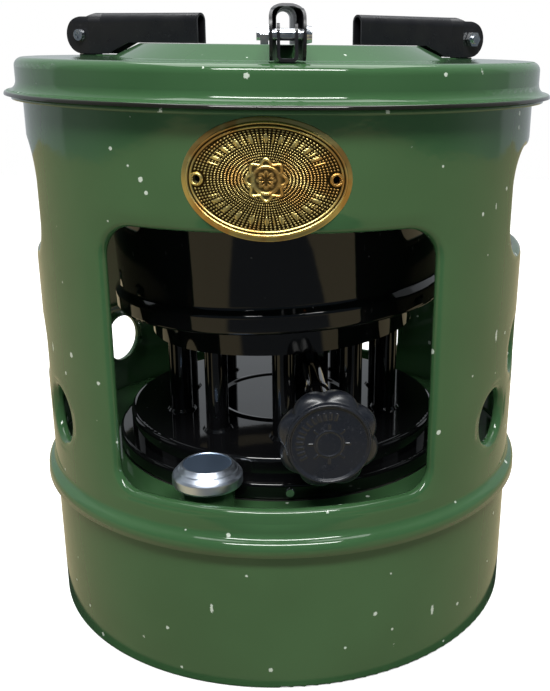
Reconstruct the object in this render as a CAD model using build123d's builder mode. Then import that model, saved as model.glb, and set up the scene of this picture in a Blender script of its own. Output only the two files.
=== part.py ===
from build123d import *
import os
from math import acos, cos, hypot, pi, radians, sin, tan

# A kerosene stove with ten wicks: a round fuel tank, an enamelled casing with windows, a lift-off
# hob with three folding pot supports, and a burner with a chimney unit, a wick knob and a filler cap.
# The origin is at the centre of the base. The front faces -Y. An azimuth is counted from the front
# towards +X, in degrees, and every length is in millimetres.

os.makedirs("parts", exist_ok=True)

# Sheet and gaps
sheet = 1.0
thin_sheet = 0.8
edge_bend = 0.3
fit_gap = 0.05
rest_gap = 0.3

# Fuel tank
body_radius = 112.4
tank_height = 73.0
tank_foot_width = 5.0
tank_foot_rise = 3.0
tank_foot_slope = 1.5
tank_bend = 1.5
tank_seam_depth = 4.5
tank_seam_room = 1.0
tank_mouth_radius = 66.0
tank_mouth_lip = 3.0

# Filler neck and cap
filler_inset = 19.2
filler_azimuth = -17.3
neck_radius = 11.25
neck_height = 19.0
neck_flange_radius = 14.0
thread_height = 0.9
thread_width = 1.5
thread_pitch = 3.6
thread_start = 12.0
cap_radius = 15.25
cap_skirt_bottom = 9.2
cap_top_radius = 11.0
cap_top_height = 22.0
cap_chamfer_height = 3.5
cap_wall = 2.65
cap_gasket_height = 1.5
cap_roof = 1.5

# Casing
flare_rise = 3.5
flare_drop = 7.5
flare_reach = 3.8
flare_lip_height = 4.5
flare_lip_slope = 0.6
flare_bend = 4.0
casing_flange_width = 4.6
casing_flange_top = 239.2
casing_flange_edge = 2.0
casing_bend = 1.6

# Openings in the casing wall
window_half_angle = 35.0
window_sill = 11.0
window_head_drop = 43.2
window_top_corner = 13.0
window_bottom_corner = 8.0
hand_half_angle = 27.5
hand_height = 45.0
hand_top_drop = 20.2
hand_corner = 15.0
air_hole_radius = 12.5
air_hole_step = 31.2
lower_air_rise = 31.0
upper_air_rise = 56.0
lip_depth = 3.0
lip_round = 1.4

# Nameplate
plate_length = 61.6
plate_height = 43.6
plate_centre_drop = 24.6
plate_sheet = 0.5
plate_rim_width = 1.4
plate_rim_rise = 0.5
eyelet_inset = 5.9
eyelet_radius = 1.85
eyelet_bore = 1.4
eyelet_head_radius = 2.5
eyelet_head = 0.6

# Hob
hob_overhang = 2.9
hob_flange_gap = 0.3
hob_flange_edge = 1.6
hob_wall_reach = 2.4
hob_wall_height = 13.2
hob_foot_bend = 4.0
hob_shoulder = 3.7
hob_edge_bend = 1.3
hob_ring_bend = 2.5
hob_lip_bend = 2.0
hob_hole_radius = 50.0
ring_crest_width = 12.0
ring_slope_width = 12.7
ring_rise = 5.8
hob_hole_lip = 5.0
hob_turn = 4.0

# Pot supports and their hinges
support_count = 3
pivot_inset = 6.8
pivot_rise = 9.2
support_reach = 8.0
support_gap = 0.15
support_depth = 13.45
support_inner_width = 7.3
support_outer_width = 9.1
support_ear_width = 12.4
support_ear_radius = 8.5
support_ear_corner = 4.4
support_crown_flat = 0.1
joggle_inset = 5.0
joggle_length = 6.0
crown_inset = 7.0
crown_cut_inset = 3.5
lobe_flat_inset = 14.2
lobe_slope_length = 12.1
lobe_inset = 4.0
pad_inset = 22.0
pad_margin = 4.4
pad_rise = 0.4
slot_width = 1.6
slot_inner_margin = 1.0
slot_outer_margin = 0.5
bracket_width = 7.1
bracket_front = 6.0
bracket_rear = 4.4
bracket_eye_radius = 3.6
bracket_bend = 2.0
bolt_radius = 2.0
bolt_head_radius = 3.0
bolt_head = 1.8
bolt_head_taper = 12.0
bolt_cross_length = 3.6
bolt_cross_width = 0.7
bolt_cross_depth = 0.9
nut_across_flats = 6.5
nut_height = 2.7
bolt_end = 1.3

# Burner
gasket_height = 0.6
gasket_overlap = 4.0
gasket_margin = 0.4
base_radius = 81.4
base_height = 7.9
base_bend = 1.6
base_lip = 3.0
base_screw_azimuths = (4.5, 124.5, 244.5)
base_screw_radius = 1.2
base_screw_length = 4.0
base_screw_head_radius = 2.2
base_screw_head = 1.2
base_screw_taper = 20.0
plate_inset = 5.8
plate_wall_height = 9.9
plate_bend = 2.5
ridge_radius = 33.5
ridge_width = 5.0
ridge_rise = 1.0
wick_count = 10
burner_turn = 2.9
front_turn = -90.0
tube_circle = 52.0
tube_radius = 5.2
tube_wall = 0.6
tube_height = 41.6
tube_tail = 31.4
collar_radius = 7.0
collar_height = 1.4
collar_taper = 35.0
wick_radius = 4.1
wick_bottom_gap = 4.0
wick_top_drop = 3.0
wick_travel = 15.0
wick_round = 1.2
wick_hole_room = 0.8

# Wick lift: a pinion on the knob's spindle raises a rack and the spider that carries the wicks
spindle_turn = 5.5
spindle_offset = 13.0
spindle_rise = 18.6
spindle_radius = 3.0
spindle_tail = 1.6
sleeve_radius = 5.0
sleeve_collar_distance = 46.0
sleeve_collar_radius = 5.8
sleeve_collar_width = 3.0
clip_radius = 5.0
clip_width = 1.0
gear_module = 1.0
pinion_teeth = 12
pressure_angle = 25.0
tooth_addendum = 0.85
tooth_dedendum = 1.15
tooth_backlash = 0.25
pinion_width = 7.0
rack_width = 6.0
rack_back = 2.6
rack_top = 8.0
rack_teeth_below = 22.0
spider_rise = 23.0
spider_sheet = 2.0
spider_hub_radius = 13.0
spider_spoke_width = 7.0
spider_ring_width = 9.0
socket_wall = 0.8
socket_height = 10.0
housing_wall = 1.2
housing_room = 0.8
housing_foot = 7.0
housing_foot_inset = 4.0
housing_screw_radius = 1.5
housing_screw_head = 2.4
housing_screw_head_height = 1.2
housing_screw_length = 5.0
housing_screw_taper = 15.0
guide_height = 3.0
guide_depth = 5.0
guide_wall = 2.0

# Knob
knob_recess = 6.2
knob_depth = 16.0
knob_grip_depth = 9.6
knob_radius = 20.85
knob_notch_depth = 2.35
knob_lobes = 8
knob_lobe_turn = 27.5
knob_face_inset = 2.65
knob_rim = 1.7
knob_dish = 1.2
knob_wall = 3.0
knob_hub_radius = 6.0
knob_hub_back = 2.0
knob_round = 1.0
knob_front_round = 0.7
knob_ring_radius = 5.1
knob_ring_width = 0.7
knob_ray_inner = 6.2
knob_ray_outer = 8.6
knob_ray_width = 0.6
knob_relief = 0.5
knob_rays = 8

# Chimney unit, which leans as it stands on the left tubes
chimney_lean = 3.0
burner_ring_outer_margin = 11.0
burner_ring_inner_margin = 11.0
burner_ring_height = 9.7
burner_ring_skirt = 2.8
burner_ring_bend = 2.0
burner_ring_lip = 3.0
drum_ledge = 13.3
drum_bead = 2.3
drum_bead_height = 8.0
drum_bead_slope = 3.0
drum_height = 86.0
drum_top_lip = 5.0
drum_bend = 2.0
outer_sleeve_margin = 7.0
inner_sleeve_margin = 7.0
sleeve_height = 94.0
sleeve_hole_radius = 2.5
sleeve_hole_rows = 4
sleeve_hole_columns = 18
sleeve_hole_first = 22.0
sleeve_hole_step = 16.0
spreader_skirt = 4.0
spreader_dome = 4.0
spreader_flat = 20.0
spreader_bend = 30.0
pin_radius = 1.5
pin_height = 30.0
pin_end = 1.5

# Sizes that follow from the ones above
casing_inner_radius = body_radius - sheet
tank_seam_radius = body_radius + fit_gap + sheet
filler_radius = body_radius - filler_inset
flare_start = tank_height + flare_rise
flare_bottom = tank_height - flare_drop
flare_lip_radius = body_radius + flare_reach
casing_flange_radius = body_radius + casing_flange_width
window_bottom = tank_height + window_sill
window_top = casing_flange_top - window_head_drop
hand_top = casing_flange_top - hand_top_drop
hand_bottom = hand_top - hand_height
lower_air_height = tank_height + lower_air_rise
upper_air_height = tank_height + upper_air_rise
plate_centre_height = casing_flange_top - plate_centre_drop
eyelet_azimuth = (plate_length / 2 - eyelet_inset) / body_radius * 180 / pi
hob_flange_radius = casing_flange_radius + hob_overhang
hob_flange_top = casing_flange_top + hob_flange_gap + sheet
hob_wall_radius = body_radius + hob_wall_reach
hob_top = hob_flange_top + hob_wall_height
ring_top_radius = hob_hole_radius + ring_crest_width
ring_foot_radius = ring_top_radius + ring_slope_width
ring_top = hob_top + ring_rise
pivot_radius = hob_wall_radius - pivot_inset
pivot_height = hob_top + pivot_rise
support_inner_radius = hob_hole_radius - support_reach
support_underside = ring_top + support_gap
support_crown = support_underside + support_depth
joggle_end = pivot_radius - joggle_inset
joggle_start = joggle_end - joggle_length
crown_end = pivot_radius - crown_inset
crown_cut_end = pivot_radius - crown_cut_inset
lobe_flat_start = pivot_radius - lobe_flat_inset
lobe_start = lobe_flat_start - lobe_slope_length
lobe_end = pivot_radius - lobe_inset
pad_inner_radius = pivot_radius - pad_inset
pad_outer_radius = hob_wall_radius - pad_margin
pad_top = hob_top + pad_rise
slot_inner_radius = pad_inner_radius - slot_inner_margin
slot_outer_radius = pad_outer_radius + slot_outer_margin
bracket_inner_radius = pivot_radius - bracket_front
bracket_outer_radius = pivot_radius + bracket_rear
gasket_inner_radius = tank_mouth_radius + gasket_overlap
base_bottom = tank_height + gasket_height
base_top = base_bottom + base_height
plate_radius = base_radius - plate_inset
plate_top = base_top + plate_wall_height
tube_top = plate_top + tube_height
tube_bottom = plate_top - tube_tail
tube_bore = tube_radius - tube_wall
wick_bottom = tank_foot_rise + sheet + wick_bottom_gap
wick_top = tube_top - wick_top_drop
spindle_height = plate_top + spindle_rise
spider_height = wick_bottom + spider_rise
pinion_pitch_radius = gear_module * pinion_teeth / 2
tooth_pitch = pi * gear_module
rack_pitch_offset = spindle_offset - pinion_pitch_radius
pinion_tip_radius = pinion_pitch_radius + tooth_addendum * gear_module
pinion_root_radius = pinion_pitch_radius - tooth_dedendum * gear_module
knob_turn_range = wick_travel / pinion_pitch_radius
knob_face = body_radius - knob_recess
knob_back = knob_face - knob_depth
knob_notch_radius = knob_radius - knob_notch_depth
knob_face_radius = knob_radius - knob_face_inset
burner_ring_radius = tube_circle + burner_ring_outer_margin
burner_ring_bore = tube_circle - burner_ring_inner_margin
drum_radius = burner_ring_radius + drum_ledge
drum_bead_radius = drum_radius + drum_bead
outer_sleeve_radius = tube_circle + outer_sleeve_margin
inner_sleeve_radius = tube_circle - inner_sleeve_margin


def direction(azimuth):
    """Unit vector that points outwards at an azimuth."""
    return Vector(sin(radians(azimuth)), -cos(radians(azimuth)), 0)


def sideways(azimuth):
    """Unit vector along the circle at an azimuth, towards larger azimuths."""
    return Vector(cos(radians(azimuth)), sin(radians(azimuth)), 0)


def facing_plane(azimuth, radius):
    """Plane that faces outwards at an azimuth: local X along the circle, local Y up."""
    return Plane(origin=direction(azimuth) * radius, x_dir=sideways(azimuth), z_dir=direction(azimuth))


def cutting_plane(azimuth):
    """Upright plane through the axis at an azimuth: local X outwards, local Y up."""
    return Plane(origin=(0, 0, 0), x_dir=direction(azimuth), z_dir=sideways(azimuth) * -1)


def pressed_ring(outline, bends, thickness, side, plane=Plane.XZ, axis=Axis.Z):
    """A sheet pressing: an outline of radii and heights, rounded, thickened to one side and turned."""
    with BuildPart() as ring:
        with BuildSketch(plane):
            with BuildLine():
                FilletPolyline(*outline, radius=bends)
                offset(amount=thickness, side=side)
            make_face()
        revolve(axis=axis)
    return ring.part


# Fuel tank: bottom and wall in one pressing, with a standing foot round the edge
tank_foot_inner = body_radius - tank_foot_width
with BuildPart() as tank_shell:
    add(pressed_ring([(0, tank_foot_rise), (tank_foot_inner - tank_foot_slope, tank_foot_rise),
                      (tank_foot_inner, 0), (body_radius, 0),
                      (body_radius, tank_height - sheet - tank_seam_room)],
                     [tank_bend, tank_bend, tank_bend], sheet, Side.LEFT))
tank_shell.part.label = "tank_shell"
export_step(tank_shell.part, "parts/tank_shell.step")

# Tank lid: seamed over the wall, with the burner mouth and the filler hole
filler_axis = direction(filler_azimuth) * filler_radius
filler_plane = Plane(origin=filler_axis + Vector(0, 0, tank_height), x_dir=direction(filler_azimuth),
                     z_dir=(0, 0, 1))
with BuildPart() as tank_top:
    add(pressed_ring([(tank_mouth_radius, tank_height - tank_mouth_lip), (tank_mouth_radius, tank_height),
                      (tank_seam_radius, tank_height), (tank_seam_radius, tank_height - tank_seam_depth)],
                     [tank_bend, 2 * sheet], sheet, Side.RIGHT))
    with BuildSketch(filler_plane):
        Circle(neck_radius + fit_gap)
    extrude(amount=-2 * sheet, mode=Mode.SUBTRACT)
tank_top.part.label = "tank_top"
export_step(tank_top.part, "parts/tank_top.step")

# Filler neck: a flanged tube through the lid, with two turns of raised thread
with BuildPart() as filler_neck:
    with BuildSketch(filler_plane.offset(-2 * sheet)):
        Circle(neck_flange_radius)
    extrude(amount=sheet)
    with BuildSketch(filler_plane.offset(-sheet)):
        Circle(neck_radius)
    extrude(amount=sheet + neck_height)
    for turn in range(2):
        with BuildSketch(filler_plane.offset(thread_start + turn * thread_pitch)):
            Circle(neck_radius + thread_height)
        extrude(amount=thread_width)
    with BuildSketch(filler_plane.offset(-2 * sheet)):
        Circle(neck_radius - sheet)
    extrude(amount=2 * sheet + neck_height, mode=Mode.SUBTRACT)
filler_neck.part.label = "filler_neck"
export_step(filler_neck.part, "parts/filler_neck.step")

# Filler cap: a turned cap with a smooth band and a bevelled top, open below
cap_ceiling = cap_top_height - cap_roof
cap_bore = cap_radius - cap_wall
gasket_room_radius = neck_radius + fit_gap
filler_section = Plane(origin=filler_axis + Vector(0, 0, tank_height), x_dir=sideways(filler_azimuth),
                       z_dir=direction(filler_azimuth))
cap_axis = Axis(filler_axis, (0, 0, 1))
with BuildPart() as filler_cap:
    with BuildSketch(filler_section):
        with BuildLine():
            Polyline((0, cap_top_height), (0, cap_ceiling), (gasket_room_radius, cap_ceiling),
                     (cap_bore, cap_ceiling - (cap_bore - gasket_room_radius)), (cap_bore, cap_skirt_bottom),
                     (cap_radius, cap_skirt_bottom), (cap_radius, cap_top_height - cap_chamfer_height),
                     (cap_top_radius, cap_top_height), close=True)
        make_face()
    revolve(axis=cap_axis)
filler_cap.part.label = "filler_cap"
export_step(filler_cap.part, "parts/filler_cap.step")

# Cap gasket: a soft disc between the neck and the cap's ceiling
with BuildPart() as cap_gasket:
    with BuildSketch(filler_plane.offset(cap_ceiling - cap_gasket_height)):
        Circle(neck_radius)
    extrude(amount=cap_gasket_height)
cap_gasket.part.label = "cap_gasket"
export_step(cap_gasket.part, "parts/cap_gasket.step")


def wall_opening(azimuth, half_angle, bottom, top, bottom_corner, top_corner, growth):
    """Rounded rectangle for a window or hand hole, drawn on a plane that faces outwards."""
    half_width = body_radius * sin(radians(half_angle))
    with BuildSketch(facing_plane(azimuth, body_radius / 2)) as outline:
        with Locations((0, (bottom + top) / 2)):
            Rectangle(2 * (half_width + growth), top - bottom + 2 * growth)
        fillet(outline.vertices().group_by(Axis.Y)[-1], top_corner + growth)
        fillet(outline.vertices().group_by(Axis.Y)[0], bottom_corner + growth)
    return outline.sketch


def wall_openings(growth):
    """Solids that reach out through every opening of the casing, each outline grown on all sides."""
    lower_air = [side * (90 + step * air_hole_step) for side in (-1, 1) for step in (-1, 0, 1)]
    upper_air = [side * (90 + step * air_hole_step / 2) for side in (-1, 1) for step in (-1, 1)]
    air_holes = [(azimuth, lower_air_height) for azimuth in lower_air]
    air_holes += [(azimuth, upper_air_height) for azimuth in upper_air]
    with BuildPart() as reach:
        for azimuth in (0, 180):
            extrude(wall_opening(azimuth, window_half_angle, window_bottom, window_top,
                                 window_bottom_corner, window_top_corner, growth), amount=body_radius)
        for azimuth in (-90, 90):
            extrude(wall_opening(azimuth, hand_half_angle, hand_bottom, hand_top,
                                 hand_corner, hand_corner, growth), amount=body_radius)
        for azimuth, height in air_holes:
            with BuildSketch(facing_plane(azimuth, body_radius / 2)):
                with Locations((0, height)):
                    Circle(air_hole_radius + growth)
            extrude(amount=body_radius)
    return reach.part


def on_outer_wall(edge):
    """Whether an edge lies on the casing's outer cylinder, between its two flares."""
    quarters = 4
    points = [edge @ (quarter / quarters) for quarter in range(quarters)]
    round_wall = all(abs(hypot(point.X, point.Y) - body_radius) < fit_gap for point in points)
    lowest = window_bottom - 2 * sheet
    highest = casing_flange_top - 3 * casing_bend
    between = all(lowest < point.Z < highest for point in points)
    return round_wall and between


# Inward lips round the openings, cut from the outlines grown by one sheet
with BuildPart() as opening_lips:
    add(wall_openings(sheet))
    with BuildSketch(Plane.XY):
        Circle(body_radius)
        Circle(body_radius - lip_depth, mode=Mode.SUBTRACT)
    extrude(amount=hob_top, mode=Mode.INTERSECT)

# Casing: a cylinder flared out over the tank's seam below and out to a flange under the hob
eyelet_plane = [facing_plane(side * eyelet_azimuth, 0) for side in (-1, 1)]
with BuildPart() as casing:
    add(pressed_ring([(flare_lip_radius, flare_bottom),
                      (flare_lip_radius - flare_lip_slope, flare_bottom + flare_lip_height),
                      (body_radius, flare_start), (body_radius, casing_flange_top - sheet),
                      (casing_flange_radius - sheet, casing_flange_top - sheet),
                      (casing_flange_radius - sheet, casing_flange_top - casing_flange_edge)],
                     [flare_bend, flare_bend, casing_bend, edge_bend], sheet, Side.LEFT))
    add(opening_lips.part)
    add(wall_openings(0), mode=Mode.SUBTRACT)
    fillet(casing.edges().filter_by(on_outer_wall), lip_round)
    for plane in eyelet_plane:
        with BuildSketch(plane):
            with Locations((0, plate_centre_height)):
                Circle(eyelet_radius + fit_gap)
        extrude(amount=body_radius + sheet, mode=Mode.SUBTRACT)
casing.part.label = "casing"
export_step(casing.part, "parts/casing.step")

# Nameplate: an oval plate bent round the casing, with a raised rim
plate_inner = body_radius + fit_gap
plate_outer = plate_inner + plate_sheet
plate_crest = plate_outer + plate_rim_rise
plate_reach = body_radius * sin(plate_length / 2 / body_radius)
with BuildPart() as nameplate:
    with BuildSketch(facing_plane(0, body_radius / 2)):
        with Locations((0, plate_centre_height)):
            Ellipse(plate_reach, plate_height / 2)
    extrude(amount=body_radius)
    with BuildSketch(Plane.XY):
        Circle(plate_crest)
        Circle(plate_inner, mode=Mode.SUBTRACT)
    extrude(amount=casing_flange_top, mode=Mode.INTERSECT)
    with BuildSketch(facing_plane(0, body_radius / 2)) as plate_field:
        with Locations((0, plate_centre_height)):
            Ellipse(plate_reach - plate_rim_width, plate_height / 2 - plate_rim_width)
    with BuildPart(mode=Mode.PRIVATE) as plate_hollow:
        extrude(plate_field.sketch, amount=body_radius)
        with BuildSketch(Plane.XY):
            Circle(plate_outer)
        extrude(amount=casing_flange_top, mode=Mode.SUBTRACT)
    add(plate_hollow.part, mode=Mode.SUBTRACT)
    for plane in eyelet_plane:
        with BuildSketch(plane):
            with Locations((0, plate_centre_height)):
                Circle(eyelet_radius + fit_gap)
        extrude(amount=body_radius + 3 * sheet, mode=Mode.SUBTRACT)
nameplate.part.label = "nameplate"
export_step(nameplate.part, "parts/nameplate.step")

# Nameplate eyelets: two hollow rivets, each with a head on both sides of the wall
with BuildPart() as nameplate_eyelets:
    for plane in eyelet_plane:
        with BuildSketch(plane.offset(casing_inner_radius - fit_gap - eyelet_head)):
            with Locations((0, plate_centre_height)):
                Circle(eyelet_radius)
        extrude(amount=plate_outer + 2 * eyelet_head + fit_gap - casing_inner_radius)
        for head_base in (casing_inner_radius - fit_gap - eyelet_head, plate_outer):
            with BuildSketch(plane.offset(head_base)):
                with Locations((0, plate_centre_height)):
                    Circle(eyelet_head_radius)
            extrude(amount=eyelet_head)
        with BuildSketch(plane):
            with Locations((0, plate_centre_height)):
                Circle(eyelet_bore)
        extrude(amount=body_radius + 3 * sheet, mode=Mode.SUBTRACT)
nameplate_eyelets.part.label = "nameplate_eyelets"
export_step(nameplate_eyelets.part, "parts/nameplate_eyelets.step")


def level_plane(azimuth, height):
    """Level plane at a height: local X outwards at the azimuth, local Y along the circle."""
    return Plane(origin=(0, 0, height), x_dir=direction(azimuth), z_dir=(0, 0, 1))


# Hob: a pan with a flat rim, a raised ring round the flame opening, and pads and slots for the hinges
support_azimuths = [hob_turn + 360 / support_count * index for index in range(support_count)]
slot_offset = (support_ear_width - sheet) / 2
slot_middle = (slot_inner_radius + slot_outer_radius) / 2
pad_width = 2 * slot_offset - slot_width
with BuildPart() as hob:
    add(pressed_ring([(hob_flange_radius, hob_flange_top - hob_flange_edge),
                      (hob_flange_radius, hob_flange_top), (hob_wall_radius, hob_flange_top),
                      (hob_wall_radius, hob_top), (ring_foot_radius, hob_top), (ring_top_radius, ring_top),
                      (hob_hole_radius, ring_top), (hob_hole_radius, ring_top - hob_hole_lip)],
                     [hob_edge_bend, hob_foot_bend, hob_shoulder, hob_ring_bend, hob_ring_bend, hob_lip_bend],
                     sheet, Side.LEFT))
    for azimuth in support_azimuths:
        with BuildSketch(level_plane(azimuth, hob_top - sheet)):
            with Locations(((pad_inner_radius + pad_outer_radius) / 2, 0)):
                Rectangle(pad_outer_radius - pad_inner_radius, pad_width)
        extrude(amount=pad_rise + sheet)
        with BuildSketch(level_plane(azimuth, hob_top - sheet)):
            with Locations(((pad_inner_radius + pad_outer_radius) / 2, 0)):
                Rectangle(pad_outer_radius - pad_inner_radius - 2 * sheet, pad_width - 2 * sheet)
        extrude(amount=pad_rise, mode=Mode.SUBTRACT)
        with BuildSketch(level_plane(azimuth, hob_top - 2 * sheet)):
            with Locations((slot_middle, -slot_offset), (slot_middle, slot_offset)):
                SlotOverall(slot_outer_radius - slot_inner_radius, slot_width)
        extrude(amount=4 * sheet, mode=Mode.SUBTRACT)
hob.part.label = "hob"
export_step(hob.part, "parts/hob.step")


def hinge_bracket(azimuth):
    """A U of sheet that stands on its pad, cheeks rounded round the pivot."""
    bracket_height = pivot_height + bracket_eye_radius - pad_top
    with BuildPart() as bracket:
        with BuildSketch(facing_plane(azimuth, bracket_inner_radius)) as section:
            with Locations((0, pad_top)):
                Rectangle(bracket_width, bracket_height, align=(Align.CENTER, Align.MIN))
            fillet(section.vertices().group_by(Axis.Y)[0], bracket_bend)
            with BuildSketch(mode=Mode.PRIVATE) as channel:
                with Locations((0, pad_top + sheet)):
                    Rectangle(bracket_width - 2 * sheet, pivot_height, align=(Align.CENTER, Align.MIN))
                fillet(channel.vertices().group_by(Axis.Y)[0], bracket_bend - sheet)
            add(channel.sketch, mode=Mode.SUBTRACT)
        extrude(amount=bracket_outer_radius - bracket_inner_radius)
        with BuildSketch(cutting_plane(azimuth)):
            with Locations((pivot_radius, pivot_height)):
                Circle(bracket_eye_radius)
            with Locations(((bracket_inner_radius + bracket_outer_radius) / 2, pad_top)):
                Rectangle(bracket_outer_radius - bracket_inner_radius, sheet, align=(Align.CENTER, Align.MIN))
            make_hull()
            with Locations((pivot_radius, pivot_height)):
                Circle(bolt_radius + fit_gap, mode=Mode.SUBTRACT)
        extrude(amount=bracket_width, both=True, mode=Mode.INTERSECT)
    return bracket.part


# Hinge brackets: one under each pot support
with BuildPart() as hinge_brackets:
    for azimuth in support_azimuths:
        add(hinge_bracket(azimuth))
hinge_brackets.part.label = "hinge_brackets"
export_step(hinge_brackets.part, "parts/hinge_brackets.step")


def bolt_plane(azimuth, offset_sideways):
    """Plane square to a hinge's bolt, beside its pivot: local Z along the bolt."""
    pivot = direction(azimuth) * pivot_radius + Vector(0, 0, pivot_height)
    return Plane(origin=pivot + sideways(azimuth) * offset_sideways, x_dir=direction(azimuth),
                 z_dir=sideways(azimuth))


# Support bolts: pan heads with a cross, on the side of larger azimuths
bolt_seat = support_ear_width / 2 + rest_gap
bolt_tail = bolt_seat + nut_height + bolt_end
with BuildPart() as support_bolts:
    for azimuth in support_azimuths:
        with BuildSketch(bolt_plane(azimuth, -bolt_tail)):
            Circle(bolt_radius)
        extrude(amount=bolt_tail + bolt_seat)
        with BuildSketch(bolt_plane(azimuth, bolt_seat)):
            Circle(bolt_head_radius)
        extrude(amount=bolt_head, taper=bolt_head_taper)
        with BuildSketch(bolt_plane(azimuth, bolt_seat + bolt_head - bolt_cross_depth)):
            Rectangle(bolt_cross_length, bolt_cross_width)
            Rectangle(bolt_cross_width, bolt_cross_length)
        extrude(amount=bolt_head, mode=Mode.SUBTRACT)
support_bolts.part.label = "support_bolts"
export_step(support_bolts.part, "parts/support_bolts.step")

# Support nuts: hexagon nuts on the other side
with BuildPart() as support_nuts:
    for azimuth in support_azimuths:
        with BuildSketch(bolt_plane(azimuth, -bolt_seat)):
            RegularPolygon(nut_across_flats / 2, 6, major_radius=False)
            Circle(bolt_radius + fit_gap, mode=Mode.SUBTRACT)
        extrude(amount=-nut_height)
support_nuts.part.label = "support_nuts"
export_step(support_nuts.part, "parts/support_nuts.step")


def channel_section(azimuth, radius, width, bottom, top, corner):
    """Section of a pot support: straight sides below, rounded corners above."""
    with BuildSketch(facing_plane(azimuth, radius)) as section:
        with Locations((0, bottom)):
            Rectangle(width, top - bottom, align=(Align.CENTER, Align.MIN))
        fillet(section.vertices().group_by(Axis.Y)[-1], corner)
    return section.sketch


def channel_block(azimuth, inset, bottom):
    """Solid of a pot support's outer form, or with an inset of one sheet of the room inside it."""
    ear_end = pivot_radius + support_ear_radius
    stations = [(support_inner_radius - inset, support_inner_width), (joggle_start, support_outer_width),
                (joggle_end, support_ear_width), (ear_end + inset, support_ear_width)]
    corners = [(support_inner_width - support_crown_flat) / 2,
               (support_outer_width - support_crown_flat) / 2,
               support_ear_corner, support_ear_corner]
    crown = support_crown - inset
    sections = [channel_section(azimuth, radius, width - 2 * inset, bottom, crown, corner - inset)
                for (radius, width), corner in zip(stations, corners)]
    with BuildPart() as block:
        loft(sections, ruled=True)
    return block.part


def pot_support(azimuth):
    """A folded channel, open below, that lies on the raised ring and turns outwards on its bolt."""
    ear_bottom = pivot_height - support_ear_radius
    lobe_bottom = pad_top + support_gap
    with BuildPart() as support:
        add(channel_block(azimuth, 0, ear_bottom))
        add(channel_block(azimuth, sheet, ear_bottom - sheet), mode=Mode.SUBTRACT)
        with BuildSketch(cutting_plane(azimuth)):
            with BuildLine():
                Polyline((pivot_radius, ear_bottom), (lobe_end, ear_bottom),
                         (joggle_end - sheet, lobe_bottom), (lobe_flat_start, lobe_bottom),
                         (lobe_start, support_underside), (support_inner_radius, support_underside),
                         (support_inner_radius, support_crown), (crown_end, support_crown),
                         (crown_cut_end, pivot_height + support_ear_radius),
                         (pivot_radius, pivot_height + support_ear_radius))
                ThreePointArc((pivot_radius, pivot_height + support_ear_radius),
                              (pivot_radius + support_ear_radius, pivot_height), (pivot_radius, ear_bottom))
            make_face()
            with Locations((pivot_radius, pivot_height)):
                Circle(bolt_radius + 2 * fit_gap, mode=Mode.SUBTRACT)
        extrude(amount=support_ear_width, both=True, mode=Mode.INTERSECT)
    return support.part


# Pot supports: three alike, each on its own hinge
for name, azimuth in zip(("front", "right", "left"), support_azimuths):
    with BuildPart() as support_piece:
        add(pot_support(azimuth))
    support_piece.part.label = f"pot_support_{name}"
    export_step(support_piece.part, f"parts/pot_support_{name}.step")

# Base gasket: a flat ring between the tank's lid and the burner's base
gasket_plane = Plane.XY.offset(tank_height)
with BuildPart() as base_gasket:
    with BuildSketch(gasket_plane):
        Circle(base_radius - gasket_margin)
        Circle(gasket_inner_radius, mode=Mode.SUBTRACT)
    extrude(amount=gasket_height)
base_gasket.part.label = "base_gasket"
export_step(base_gasket.part, "parts/base_gasket.step")

# Burner base: the lower tier, a channel ring with an upright lip that centres the plate above it
plate_lip_radius = plate_radius - sheet - fit_gap
base_screw_height = (base_bottom + base_top) / 2
with BuildPart() as burner_base:
    add(pressed_ring([(gasket_inner_radius, base_bottom), (base_radius, base_bottom), (base_radius, base_top),
                      (plate_lip_radius, base_top), (plate_lip_radius, base_top + base_lip)],
                     [base_bend, base_bend, fit_gap], sheet, Side.LEFT))
    for azimuth in base_screw_azimuths:
        with BuildSketch(facing_plane(azimuth, plate_radius)):
            with Locations((0, base_screw_height)):
                Circle(base_screw_radius + fit_gap)
        extrude(amount=base_radius, mode=Mode.SUBTRACT)
burner_base.part.label = "burner_base"
export_step(burner_base.part, "parts/burner_base.step")

# Burner plate: the upper tier, with holes for the tubes, the rack guide and the housing's screws
tube_start = burner_turn + front_turn
mechanism_plane = Plane(origin=(0, 0, plate_top), x_dir=sideways(spindle_turn), z_dir=(0, 0, 1))
rack_tip = rack_pitch_offset + tooth_addendum * gear_module
rack_root = rack_pitch_offset - tooth_dedendum * gear_module
rack_rear = rack_root - rack_back
rack_centre = (rack_tip + rack_rear) / 2
rack_slot_length = rack_tip - rack_rear + 2 * rest_gap
rack_slot_width = rack_width + 2 * rest_gap
guide_length = rack_slot_length + 2 * guide_wall
guide_width = rack_slot_width + 2 * guide_wall
guide_flange_length = guide_length + 2 * guide_wall
guide_flange_width = guide_width + 2 * guide_wall
housing_left = rack_centre - guide_flange_length / 2 - rest_gap - housing_wall
housing_right = spindle_offset + pinion_tip_radius + housing_room + housing_wall
housing_middle = (housing_left + housing_right) / 2
housing_length = housing_right - housing_left
housing_half_depth = guide_flange_width / 2 + rest_gap + housing_wall
housing_top = spindle_height + pinion_tip_radius + housing_room + housing_wall
foot_length = housing_length - 2 * housing_foot_inset
screw_spacing = foot_length / 2
screw_distance = housing_half_depth + housing_foot / 2
screw_places = [(housing_middle + along * screw_spacing / 2, across * screw_distance)
                for along in (-1, 1) for across in (-1, 1)]
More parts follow.
